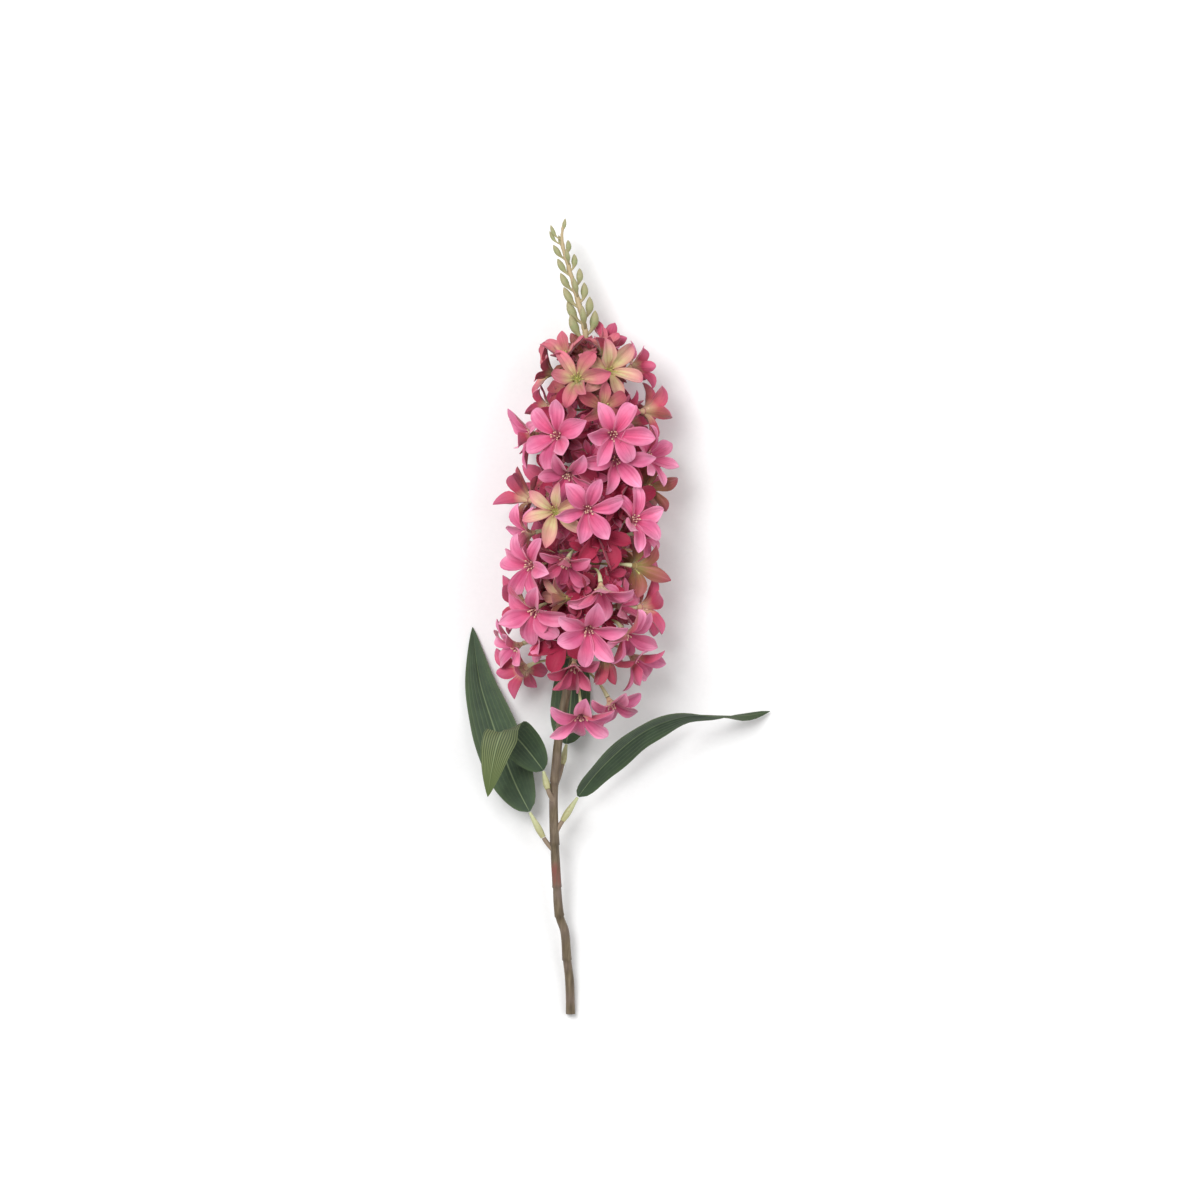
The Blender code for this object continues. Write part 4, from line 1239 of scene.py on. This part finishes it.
def petal_cloth(floret, spine, draw):
    """A petal of thin cloth, creased along its midrib, with soft waves along its edges."""
    mesh = start_mesh()
    across_steps, along_steps = PETAL_STEPS_SHOWN if floret.shown else PETAL_STEPS_HIDDEN
    bmesh.ops.create_grid(mesh, x_segments=across_steps, y_segments=along_steps, size=1)
    layers = mesh.verts.layers.float
    phase, crease = draw.uniform(0, math.tau), draw.uniform(*LOOSE_CREASE)
    slim = PETAL_SLIMNESS[floret.tint] * draw.uniform(*LOOSE_WIDTH)
    cup, fold = PETAL_CUP * draw.uniform(*LOOSE_CUP), draw.uniform(*LOOSE_FOLD)
    sway = draw.uniform(-PETAL_SWAY, PETAL_SWAY) * floret.length
    roundness = draw.uniform(*PETAL_ROUNDNESS)
    for vert in mesh.verts:
        across = -vert.co.x
        share = 1 - ((1 - vert.co.y) / 2) ** PETAL_CROWDING
        vert[layers["across"]] = across
        vert[layers["along"]] = share
        place = spine_place(spine, share)
        width = max(fine_petal_width(floret.length, share, roundness) * slim, PETAL_POINT)
        out = min(width, place.reach * PETAL_FINE_ROOM) * across
        swell = math.sin(math.pi * share)
        valley = math.exp(-((across / PETAL_CREASE_WIDTH) ** 2)) * PETAL_CREASE * crease * swell
        wave = math.sin(share * PETAL_WAVES[0] + phase + across * PETAL_WAVES[1])
        ruffle = wave * across**2 * PETAL_RUFFLE * swell
        rise = abs(out) * (cup * abs(across) + fold) + ruffle - valley
        vert.co = place.point + place.side * (out + sway * share**2) + place.front * rise
    lay_on_table(mesh, TABLE_GAP + PETAL_CLOTH)
    give_back(mesh, PETAL_CLOTH)
    return mesh


def crosses(mesh, others):
    """Whether a mesh crosses any of some search trees."""
    tree = BVHTree.FromBMesh(mesh)
    return any(tree.overlap(other) for other in others)


def loose_petal(floret, frame, index, others):
    """A petal with its own bends, as far as they keep it clear of the other florets."""
    for looseness in LOOSENESS:
        draw = random.Random(floret.seed * PETALS + index)
        petal = petal_cloth(floret, loose_spine(floret, frame, index, looseness, draw), draw)
        if looseness == LOOSENESS[-1] or not crosses(petal, others):
            return petal
        petal.free()


def fine_floret(floret, others=()):
    """A floret: a small cup with a hollow throat, and six petals that grow from its rim."""
    turn = floret_frame(floret)
    facing = turn.to_3x3() @ Vector((0, 0, 1))
    stations = [(turn @ Vector((0, 0, height * MM)), facing, radius * MM) for height, radius in THROAT_MM]
    mesh = fine_tube(stations, THROAT_SIDES)
    deepest = len(THROAT_MM) - 1
    layers = mesh.verts.layers.float
    for vert in mesh.verts:
        row = round(vert[layers["along"]] * deepest)
        vert[layers["side"]] = 1 if row < THROAT_OUTSIDE else 0
        vert[layers["along"]] = 0
    draw = random.Random(floret.seed)
    # The tone is random for each floret, and lower for florets set in towards the stem, which the finish
    # darkens as painted shade
    tone = draw.random() * TONE_BY_FLORET + min(0, floret.push / SHADE_DEPTH)
    for index in range(PETALS):
        petal = loose_petal(floret, turn, index, others)
        set_values(petal, petal.verts, tone=tone + draw.uniform(-TONE_BY_PETAL, TONE_BY_PETAL))
        add_part(mesh, petal)
    lay_on_table(mesh, TABLE_GAP)
    return mesh


def filler_florets():
    """Florets between the flower axis and the shown florets, coloured deep with painted shade."""
    draw = random.Random(SEED)
    low, high = FILLER_ALONGS
    for row in range(FILLER_ROWS):
        along = low + (high - low) * row / (FILLER_ROWS - 1)
        (radius,) = values_at(THROAT_RADIUS, along)
        for turn in FILLER_TURNS:
            shift = draw.uniform(-FILLER_TURN_SHIFT, FILLER_TURN_SHIFT)
            angle = math.radians(turn + FILLER_STAGGER * (row % 2) + shift)
            yield Floret(
                "coral" if along > CORAL_FROM else "pink",
                along + draw.uniform(-FILLER_ALONG_SHIFT, FILLER_ALONG_SHIFT),
                angle,
                radius * (FILLER_RADIUS - 1),
                (math.sin(angle), draw.uniform(-FILLER_TILT, FILLER_TILT), math.cos(angle)),
                draw.uniform(0, math.tau),
                min(FILLER_LENGTH, radius * FILLER_LENGTH_SHARE),
                math.radians(draw.uniform(*FILLER_OPENS)),
                SEED + FILLER_SEEDS + draw.randrange(FILLER_SEEDS),
                False,
            )


def crown_florets():
    """Half-open florets that close more and more towards the bud tip."""
    draw = random.Random(SEED + 1)
    for index in range(CROWN_FLORETS):
        share = index / (CROWN_FLORETS - 1)
        turn = math.radians(index * GOLDEN_TURN)
        along, length, opened, radius = (
            between(ends, share) for ends in (CROWN_ALONGS, CROWN_LENGTHS, CROWN_OPENS, CROWN_RADII)
        )
        (usual,) = values_at(THROAT_RADIUS, along)
        yield Floret(
            ("cream", "coral")[index % 2],
            along,
            turn,
            radius - usual,
            (math.sin(turn), 0.5 + share, math.cos(turn)),
            draw.uniform(0, math.tau),
            length,
            math.radians(opened),
            SEED + CROWN_SEEDS + index,
            False,
        )


def fine_filler(floret, others):
    """A filling floret with its stalk, made smaller until its petals stay clear of the others."""
    for size in FILLER_SIZES:
        smaller = floret._replace(length=floret.length * size)
        mesh = fine_floret(smaller)
        if size == FILLER_SIZES[-1] or not crosses(mesh, others):
            add_part(mesh, fine_stalk(smaller))
            return mesh
        mesh.free()


def stamen(root, ahead, length, profile):
    """A thin filament with a swollen end."""
    stations = [(root + ahead * length * share, ahead, radius * MM) for share, radius in profile]
    return fine_tube(stations, STAMEN_SIDES)


def fine_stamens(florets, lime):
    """The stamens and pistils of some florets. Their tone says how lime they are."""
    mesh = start_mesh()
    for floret in florets:
        turn = floret_frame(floret)
        draw = random.Random(floret.seed + STAMEN_SEEDS)
        for index in range(STAMENS):
            angle = math.tau * (index + draw.uniform(-0.3, 0.3)) / STAMENS
            lean = math.radians(draw.uniform(*STAMEN_LEANS))
            out = Vector((math.cos(angle), math.sin(angle), 0))
            ahead = turn.to_3x3() @ (out * math.sin(lean) + Vector((0, 0, math.cos(lean))))
            root = turn @ (out * STAMEN_ROOT - Vector((0, 0, STAMEN_DEPTH)))
            add_part(mesh, stamen(root, ahead, draw.uniform(*STAMEN_LENGTHS) * MM, STAMEN_PROFILE))
        facing = turn.to_3x3() @ Vector((0, 0, 1))
        root = turn.translation - facing * PISTIL_DEPTH
        add_part(mesh, stamen(root, facing, PISTIL_LENGTH * MM, PISTIL_PROFILE))
    set_values(mesh, mesh.verts, tone=lime)
    lay_on_table(mesh, TABLE_GAP)
    return mesh


# Node groups and materials


def srgb(*channels):
    """A colour given as red, green and blue from 0 to 255, in linear light."""
    linear = [c / 255 / 12.92 if c <= 10 else ((c / 255 + 0.055) / 1.055) ** 2.4 for c in channels]
    return (*linear, 1.0)


def add_node(tree, kind, inputs=(), **settings):
    """A node with its settings, and its inputs linked or set."""
    made = tree.nodes.new(kind)
    for name, value in settings.items():
        setattr(made, name, value)
    for name, value in dict(inputs).items():
        if isinstance(value, bpy.types.NodeSocket):
            tree.links.new(value, made.inputs[name])
        else:
            made.inputs[name].default_value = value
    return made


def value_of(tree, name):
    """One of the values that a piece's points carry."""
    return add_node(tree, "ShaderNodeAttribute", attribute_name=name).outputs["Fac"]


def calc(tree, operation, *values, clamp=False):
    """A Math node."""
    return add_node(
        tree, "ShaderNodeMath", enumerate(values), operation=operation, use_clamp=clamp
    ).outputs["Value"]


def scaled(tree, value, factor, shift):
    """A value times a factor, plus a shift, and kept from 0 to 1."""
    return calc(tree, "MULTIPLY_ADD", value, factor, shift, clamp=True)


def mix(tree, factor, first, second):
    """A mix of two colours."""
    made = add_node(tree, "ShaderNodeMix", data_type="RGBA", clamp_factor=True)
    for socket, value in zip((made.inputs[0], made.inputs[6], made.inputs[7]), (factor, first, second)):
        if isinstance(value, bpy.types.NodeSocket):
            tree.links.new(value, socket)
        else:
            socket.default_value = value
    return made.outputs[2]


def lay_over(tree, under, over, where, share):
    """A colour laid over another as far as a value goes, and at most by a share."""
    return mix(tree, calc(tree, "MULTIPLY", where, share), under, over)


def ramp(tree, value, *stops):
    """A colour ramp with stops of place and colour."""
    made = add_node(tree, "ShaderNodeValToRGB", {"Fac": value})
    steps = made.color_ramp.elements
    while len(steps) < len(stops):
        steps.new(0.5)
    for step, (place, colour) in zip(steps, stops):
        step.position = place
        step.color = colour
    return made.outputs["Color"]


def spots(tree, size, detail=3.0, stretch=(1, 1, 1)):
    """Soft noise from 0 to 1, of spots of a size in metres."""
    where = add_node(tree, "ShaderNodeTexCoord").outputs["Object"]
    turned = add_node(tree, "ShaderNodeMapping", {"Vector": where, "Scale": stretch})
    cloud = add_node(
        tree,
        "ShaderNodeTexNoise",
        {"Vector": turned.outputs["Vector"], "Scale": 1 / size, "Detail": detail, "Roughness": 0.55},
    )
    return cloud.outputs["Fac"]


def start_group(name, inputs, output):
    """A node group with number inputs, which are name and usual value, and one number output."""
    tree = bpy.data.node_groups.new(name, "ShaderNodeTree")
    for label, usual in inputs:
        socket = tree.interface.new_socket(label, in_out="INPUT", socket_type="NodeSocketFloat")
        socket.default_value = usual
    tree.interface.new_socket(output, in_out="OUTPUT", socket_type="NodeSocketFloat")
    return tree, add_node(tree, "NodeGroupInput").outputs, add_node(tree, "NodeGroupOutput").inputs


def veins_group():
    """Fine lines that run along a petal or leaf and fade at its base and tip."""
    tree, given, result = start_group("long_veins", (("Count", 9.0), ("Sharpness", 6.0)), "Veins")
    across, along = value_of(tree, "across"), value_of(tree, "along")
    drift = calc(tree, "MULTIPLY_ADD", spots(tree, 9 * MM, 1.0), 0.03, across)
    angle = calc(tree, "MULTIPLY", drift, calc(tree, "MULTIPLY", given["Count"], math.pi))
    wave = calc(tree, "ABSOLUTE", calc(tree, "COSINE", angle))
    lines = calc(tree, "POWER", wave, given["Sharpness"])
    fade = calc(tree, "SINE", calc(tree, "MULTIPLY", along, math.pi))
    tree.links.new(calc(tree, "MULTIPLY", lines, fade, clamp=True), result["Veins"])


def streaks_group():
    """Uneven streaks along a petal, different on each."""
    tree, given, result = start_group("long_streaks", (("Count", 4.0),), "Streaks")
    across = calc(tree, "MULTIPLY", value_of(tree, "across"), given["Count"])
    along = value_of(tree, "along")
    each = calc(tree, "MULTIPLY", value_of(tree, "tone"), 40.0)
    where = add_node(tree, "ShaderNodeCombineXYZ", {"X": across, "Y": along, "Z": each})
    cloud = add_node(
        tree, "ShaderNodeTexNoise", {"Vector": where.outputs["Vector"], "Scale": 1.0, "Detail": 3.0}
    )
    lines = scaled(tree, cloud.outputs["Fac"], 4.0, -1.7)
    tree.links.new(lines, result["Streaks"])


def dye_group():
    """Uneven dye: large soft clouds with finer spots in them."""
    tree, given, result = start_group("uneven_dye", (("Spots", 0.35),), "Shade")
    clouds, fine = spots(tree, 14 * MM, 2.0), spots(tree, 2.2 * MM, 3.0)
    rest = calc(tree, "SUBTRACT", 1.0, given["Spots"])
    both = calc(
        tree, "ADD", calc(tree, "MULTIPLY", clouds, rest), calc(tree, "MULTIPLY", fine, given["Spots"])
    )
    tree.links.new(scaled(tree, both, 2.4, -0.7), result["Shade"])


def use_group(tree, name, inputs=()):
    """A group placed in a material with its own values, as its output."""
    return add_node(tree, "ShaderNodeGroup", inputs, node_tree=bpy.data.node_groups[name]).outputs[0]


def start_finish(name, roughness, **constants):
    """A Principled material with its constants set. Returns its tree and its shader."""
    material = bpy.data.materials.new(name)
    material.use_nodes = True
    shader = material.node_tree.nodes["Principled BSDF"]
    shader.inputs["Roughness"].default_value = roughness
    for label, value in constants.items():
        shader.inputs[label.replace("_", " ").title()].default_value = value
    return material, material.node_tree, shader


def set_surface(tree, shader, colour, height, depth, strength):
    """Gives the shader its colour, and a bump from heights of 0 to 1 over a depth in metres."""
    tree.links.new(colour, shader.inputs["Base Color"])
    bump = add_node(tree, "ShaderNodeBump", {"Height": height, "Distance": depth, "Strength": strength})
    tree.links.new(bump.outputs["Normal"], shader.inputs["Normal"])


def shade_by(tree, colour, value, low, high):
    """A colour made darker or lighter as a value goes from 0 to 1."""
    changes = {"Color": colour, "Value": calc(tree, "MULTIPLY_ADD", value, high - low, low)}
    return add_node(tree, "ShaderNodeHueSaturation", changes).outputs["Color"]


# The dyes of a petal and its painted shade: from its throat to its rim, a darker painted shade for clouds
# over its front, then on its back, then deep inside the head, where it is painted shade and also the
# crown florets' own darker colour
PetalLook = namedtuple(
    "PetalLook", "throat heart heart_reach middle rim shade vein base reverse reverse_rim deep"
)
PETAL_LOOKS = {
    "pink": PetalLook(
        throat=srgb(134, 28, 66),
        heart=srgb(196, 60, 106),
        heart_reach=0.16,
        middle=srgb(228, 108, 150),
        rim=srgb(246, 168, 202),
        shade=srgb(190, 80, 128),
        vein=srgb(180, 50, 100),
        base=srgb(206, 182, 140),
        reverse=srgb(196, 70, 98),
        reverse_rim=srgb(208, 104, 140),
        deep=srgb(164, 24, 66),
    ),
    "coral": PetalLook(
        throat=srgb(172, 184, 108),
        heart=srgb(200, 182, 130),
        heart_reach=0.24,
        middle=srgb(210, 128, 132),
        rim=srgb(210, 98, 126),
        shade=srgb(172, 64, 90),
        vein=srgb(164, 74, 92),
        base=srgb(154, 142, 92),
        reverse=srgb(170, 60, 78),
        reverse_rim=srgb(168, 58, 86),
        deep=srgb(142, 36, 50),
    ),
    "cream": PetalLook(
        throat=srgb(176, 192, 106),
        heart=srgb(206, 208, 144),
        heart_reach=0.32,
        middle=srgb(224, 182, 160),
        rim=srgb(216, 108, 140),
        shade=srgb(212, 146, 136),
        vein=srgb(190, 114, 116),
        base=srgb(134, 122, 62),
        reverse=srgb(150, 98, 66),
        reverse_rim=srgb(156, 66, 84),
        deep=srgb(150, 84, 64),
    ),
}


def petal_finish(tint):
    """Dyed cloth: deep at the throat, lighter to the rim, and olive to coral on its back, with painted
    shade in soft clouds and deep inside the head.
    """
    look = PETAL_LOOKS[tint]
    material, tree, shader = start_finish(
        f"{tint}_petal_cloth", 0.68, sheen_weight=0.3, sheen_roughness=0.45
    )
    along, across, back, tone = (value_of(tree, name) for name in VALUES)
    front = ramp(
        tree,
        along,
        (0.0, look.throat),
        (look.heart_reach, look.heart),
        (0.34 + look.heart_reach, look.middle),
        (1.0, look.rim),
    )
    margin = calc(tree, "POWER", calc(tree, "ABSOLUTE", across), 3.0)
    front = lay_over(tree, front, look.rim, margin, 0.5)
    # Painted shade: a darker mauve laid in soft random clouds over the fronts, standing in for petals
    # turned from the light
    clouds = scaled(tree, spots(tree, 16 * MM, 2.0), 3.4, -1.4)
    front = lay_over(tree, front, look.shade, clouds, 0.65)
    streaks = use_group(tree, "long_streaks", {"Count": 4.0})
    near_throat = scaled(tree, along, -0.5, 0.75)
    front = lay_over(tree, front, look.vein, streaks, near_throat)
    behind = ramp(
        tree, along, (0.0, look.base), (0.1, look.base), (0.4, look.reverse), (1.0, look.reverse_rim)
    )
    olive = scaled(tree, tone, 3.0, -1.5)
    olive = calc(tree, "MULTIPLY", olive, calc(tree, "SUBTRACT", 1.0, margin))
    behind = lay_over(tree, behind, srgb(146, 112, 60), olive, 0.6)
    behind = lay_over(tree, behind, look.vein, streaks, 0.4)
    colour = mix(tree, back, front, behind)
    # Painted shade: petals with a low tone, set deep in the head, are mixed towards the deep colour
    depth = scaled(tree, tone, -1.1, 0.1)
    colour = mix(tree, depth, colour, look.deep)
    dye = use_group(tree, "uneven_dye", {"Spots": 0.3})
    colour = shade_by(tree, colour, dye, 0.88, 1.08)
    height = calc(tree, "MULTIPLY_ADD", streaks, -0.8, dye)
    set_surface(tree, shader, colour, height, 0.25 * MM, 0.8)
    return material


def leaf_finish():
    """Leaf cloth with pale parallel veins and midrib on its dark front, and a lighter back."""
    material, tree, shader = start_finish("leaf_cloth", 0.68)
    along, across, back, pale = (value_of(tree, name) for name in VALUES)
    dye = use_group(tree, "uneven_dye", {"Spots": 0.2})
    front = mix(tree, dye, srgb(38, 56, 37), srgb(58, 80, 52))
    margin = calc(tree, "POWER", calc(tree, "ABSOLUTE", across), 4.0)
    front = lay_over(tree, front, srgb(92, 112, 66), margin, 0.35)
    veins = use_group(tree, "long_veins", {"Count": 5.0, "Sharpness": 9.0})
    front = lay_over(tree, front, srgb(120, 140, 92), veins, 0.16)
    behind = ramp(
        tree, along, (0.4, srgb(56, 66, 48)), (0.62, srgb(58, 74, 42)), (1.0, srgb(82, 100, 48))
    )
    behind = mix(tree, pale, srgb(54, 70, 44), behind)
    close_veins = use_group(tree, "long_veins", {"Count": 7.0, "Sharpness": 2.5})
    close_veins = calc(tree, "MULTIPLY", close_veins, calc(tree, "MULTIPLY_ADD", pale, 0.75, 0.25))
    towards_tip = calc(tree, "SUBTRACT", along, 0.15, clamp=True)
    close_veins = calc(tree, "MULTIPLY", close_veins, towards_tip)
    behind = mix(tree, close_veins, behind, srgb(156, 164, 106))
    colour = mix(tree, back, front, behind)
    apart = calc(tree, "MULTIPLY", across, across)
    rib = calc(tree, "POWER", math.e, calc(tree, "MULTIPLY", apart, -1100.0))
    rib = calc(tree, "MULTIPLY", rib, scaled(tree, along, -0.6, 0.75))
    colour = mix(tree, rib, colour, srgb(146, 162, 118))
    height = calc(tree, "MULTIPLY_ADD", veins, -0.8, calc(tree, "MULTIPLY", dye, 0.6))
    set_surface(tree, shader, colour, height, 0.25 * MM, 0.8)
    return material


def stem_finish():
    """Brown-green sleeves with streaks, mauve clouds, and one reddish scar. The wire end is grey."""
    material, tree, shader = start_finish("stem_sleeve_plastic", 0.55)
    wire, branch = value_of(tree, "side"), value_of(tree, "tone")
    streaks = spots(tree, 2.2 * MM, 4.0, (1, 0.12, 1))
    colour = ramp(
        tree, streaks, (0.3, srgb(78, 66, 48)), (0.5, srgb(102, 88, 66)), (0.72, srgb(126, 112, 90))
    )
    clouds = scaled(tree, spots(tree, 22 * MM, 2.0), 3.0, -1.3)
    colour = lay_over(tree, colour, srgb(132, 112, 108), clouds, 0.65)
    where = add_node(tree, "ShaderNodeTexCoord").outputs["Object"]
    along = add_node(tree, "ShaderNodeSeparateXYZ", {"Vector": where}).outputs["Y"]
    away = calc(tree, "DIVIDE", calc(tree, "SUBTRACT", along, STEM_SCAR), STEM_SCAR_LENGTH)
    scar = calc(tree, "SUBTRACT", 1.2, calc(tree, "MULTIPLY", away, away), clamp=True)
    scar = calc(tree, "MULTIPLY", scar, scaled(tree, streaks, 3.0, -0.9))
    colour = lay_over(tree, colour, srgb(128, 62, 58), scar, 0.8)
    colour = lay_over(tree, colour, srgb(158, 138, 118), branch, 0.6)
    colour = mix(tree, wire, colour, srgb(120, 122, 124))
    set_surface(tree, shader, colour, streaks, 0.3 * MM, 0.7)
    return material


def collar_finish():
    """Pale plastic that goes from olive to yellow-green along a collar, with worn brown specks."""
    material, tree, shader = start_finish("collar_plastic", 0.5)
    colour = mix(tree, value_of(tree, "along"), srgb(172, 168, 120), srgb(188, 194, 150))
    worn = scaled(tree, spots(tree, 1.6 * MM, 4.0), 4.0, -2.1)
    colour = lay_over(tree, colour, srgb(166, 138, 96), worn, 0.7)
    dye = use_group(tree, "uneven_dye", {"Spots": 0.5})
    colour = shade_by(tree, colour, dye, 0.88, 1.1)
    set_surface(tree, shader, colour, dye, 0.18 * MM, 0.6)
    return material


def axis_finish():
    """Olive core, and stalks that go from olive to pale cream-green where they hold a cup."""
    material, tree, shader = start_finish("flower_axis_plastic", 0.55)
    stalks = ramp(
        tree,
        value_of(tree, "along"),
        (0.0, srgb(140, 136, 84)),
        (0.5, srgb(178, 176, 122)),
        (1.0, srgb(206, 206, 164)),
    )
    colour = mix(tree, value_of(tree, "tone"), srgb(126, 118, 78), stalks)
    dye = use_group(tree, "uneven_dye", {"Spots": 0.5})
    colour = shade_by(tree, colour, dye, 0.88, 1.08)
    set_surface(tree, shader, colour, dye, 0.15 * MM, 0.6)
    return material


def bud_finish():
    """Grey-green buds with tan necks and rims, on a tan stem."""
    material, tree, shader = start_finish("bud_plastic", 0.6)
    buds = ramp(
        tree,
        value_of(tree, "along"),
        (0.0, srgb(176, 158, 122)),
        (0.3, srgb(156, 152, 108)),
        (0.6, srgb(134, 148, 98)),
        (1.0, srgb(152, 148, 110)),
    )
    colour = mix(tree, value_of(tree, "tone"), srgb(178, 160, 122), buds)
    dye = use_group(tree, "uneven_dye", {"Spots": 0.6})
    colour = lay_over(tree, colour, srgb(184, 160, 128), dye, 0.5)
    colour = shade_by(tree, colour, spots(tree, 1.1 * MM), 0.86, 1.1)
    set_surface(tree, shader, colour, dye, 0.2 * MM, 0.7)
    return material


def stamen_finish():
    """Pale filaments with brownish ends. Those of the lime florets are yellow-green."""
    material, tree, shader = start_finish("stamen_plastic", 0.5)
    along = value_of(tree, "along")
    pink = ramp(
        tree, along, (0.0, srgb(206, 130, 140)), (0.6, srgb(236, 196, 184)), (0.9, srgb(238, 208, 176))
    )
    lime = ramp(
        tree, along, (0.0, srgb(190, 200, 104)), (0.6, srgb(216, 220, 140)), (0.9, srgb(206, 186, 128))
    )
    colour = mix(tree, value_of(tree, "tone"), pink, lime)
    grain = spots(tree, 0.8 * MM)
    colour = shade_by(tree, colour, grain, 0.9, 1.08)
    set_surface(tree, shader, colour, grain, 0.05 * MM, 0.5)
    return material


def table_finish():
    """Plain near-white paper."""
    material, tree, shader = start_finish("studio_paper", 0.9)
    grain = spots(tree, 3 * MM)
    colour = ramp(tree, grain, (0.2, PAPER_SHADE), (0.8, PAPER_WHITE))
    set_surface(tree, shader, colour, grain, 0.02 * MM, 0.2)
    return material


# Studio


def lamp(name, place, size, power):
    """A large soft lamp that faces the middle of the spike."""
    data = bpy.data.lights.new(name, "AREA")
    data.size = size
    data.energy = power
    made = bpy.data.objects.new(name, data)
    made.location = place
    made.rotation_euler = (-Vector(place)).to_track_quat("-Z", "Y").to_euler()
    made.visible_camera = False
    bpy.context.scene.collection.objects.link(made)


def studio():
    """A pale floor, soft lamps, and the camera straight above."""
    scene = bpy.context.scene
    scene.view_settings.view_transform = "Standard"
    mesh = bmesh.new()
    bmesh.ops.create_circle(mesh, cap_ends=True, radius=FLOOR_RADIUS, segments=FLOOR_SIDES)
    data = bpy.data.meshes.new("floor")
    mesh.to_mesh(data)
    mesh.free()
    data.materials.append(table_finish())
    floor = bpy.data.objects.new("floor", data)
    scene.collection.objects.link(floor)
    world = scene.world or bpy.data.worlds.new("studio")
    scene.world = world
    world.use_nodes = True
    sky = world.node_tree.nodes["Background"]
    sky.inputs["Color"].default_value = (1, 1, 1, 1)
    sky.inputs["Strength"].default_value = SKY_STRENGTH
    for name, place, size, power in LAMPS:
        lamp(name, place, size, power)
    camera = bpy.data.objects.new("camera", bpy.data.cameras.new("camera"))
    camera.data.sensor_width = SENSOR
    camera.data.lens = SENSOR * (VIEW_HEIGHT - VIEW_PLANE) / VIEW_WIDTH
    camera.data.clip_end = VIEW_REACH
    camera.location = (*VIEW_CENTRE, VIEW_HEIGHT)
    scene.collection.objects.link(camera)
    scene.camera = camera


# Pieces


def piece(name, mesh, material, slot, *nodes):
    """A finished piece from a bmesh, in the place of CAD nodes."""
    data = bpy.data.meshes.new(name)
    mesh.to_mesh(data)
    mesh.free()
    data.materials.append(material)
    data.shade_smooth()
    data.set_sharp_from_angle(angle=math.radians(SHARP_FROM))
    made = bpy.data.objects.new(name, data)
    bpy.context.scene.collection.objects.link(made)
    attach(made, "root")
    if nodes:
        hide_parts(*nodes)


def placed_groups():
    """The florets in their groups, placed by the same rules as the CAD nodes."""
    fixed = [BVHTree.FromBMesh(axis_core(STALK_CLEARANCE)), BVHTree.FromBMesh(main_stem(STALK_CLEARANCE))]
    fixed += [tip_tree(STALK_CLEARANCE), *(sheet_tree(leaf_sheet(leaf), CLEARANCE) for leaf in LEAVES)]
    shown = sorted(shown_florets(), key=lambda floret: -throat(floret).z)
    return settle([*shown, *hidden_florets(UNDER), *hidden_florets(INSIDE)], fixed)


def build_green():
    """The stem, collars, leaves and bud tip."""
    piece("stem_sleeves", stem_sleeves(), stem_finish(), "stem_green", "main_stem")
    collar_plastic = collar_finish()
    for collar in COLLARS:
        piece(f"{collar.name}_sleeve", fine_collar(collar), collar_plastic, "collar_green", collar.name)
    leaf_green = leaf_finish()
    for leaf in LEAVES:
        piece(f"{leaf.name}_blade", leaf_cloth(leaf), leaf_green, "leaf_green", leaf.name)
    piece("bud_spray", fine_bud_tip(), bud_finish(), "bud_green", "bud_tip")


def build_head():
    """The flower axis, the florets and their stamens."""
    groups = placed_groups()
    piece("stalks", fine_axis(groups), axis_finish(), "axis_green", "flower_axis")
    finishes = {tint: petal_finish(tint) for tint in PETAL_LOOKS}
    made = []
    for number, group in enumerate(groups, 1):
        tint = group[0].tint
        node = f"floret{'s' if len(group) > 1 else ''}_{number:02d}_{tint}"
        mesh = start_mesh()
        for floret in group:
            add_part(mesh, fine_floret(floret, made))
        made.append(BVHTree.FromBMesh(mesh))
        piece(f"{node}_petals", mesh, finishes[tint], f"petal_{tint}", node)
    fillers = [*filler_florets(), *crown_florets()]
    for tint in PETAL_LOOKS:
        mesh = start_mesh()
        for floret in fillers:
            if floret.tint == tint:
                add_part(mesh, fine_filler(floret, made))
        piece(f"filling_{tint}_florets", mesh, finishes[tint], f"petal_{tint}")
    seen = [floret for group in groups for floret in group if floret.shown]
    plastic = stamen_finish()
    for name, tints, slot, lime in STAMEN_SETS:
        some = [floret for floret in seen if floret.tint in tints]
        piece(name, fine_stamens(some, lime), plastic, slot)


def main():
    """Builds the groups, the studio and the pieces."""
    for build in (veins_group, streaks_group, dye_group):
        build()
    studio()
    build_green()
    build_head()


main()
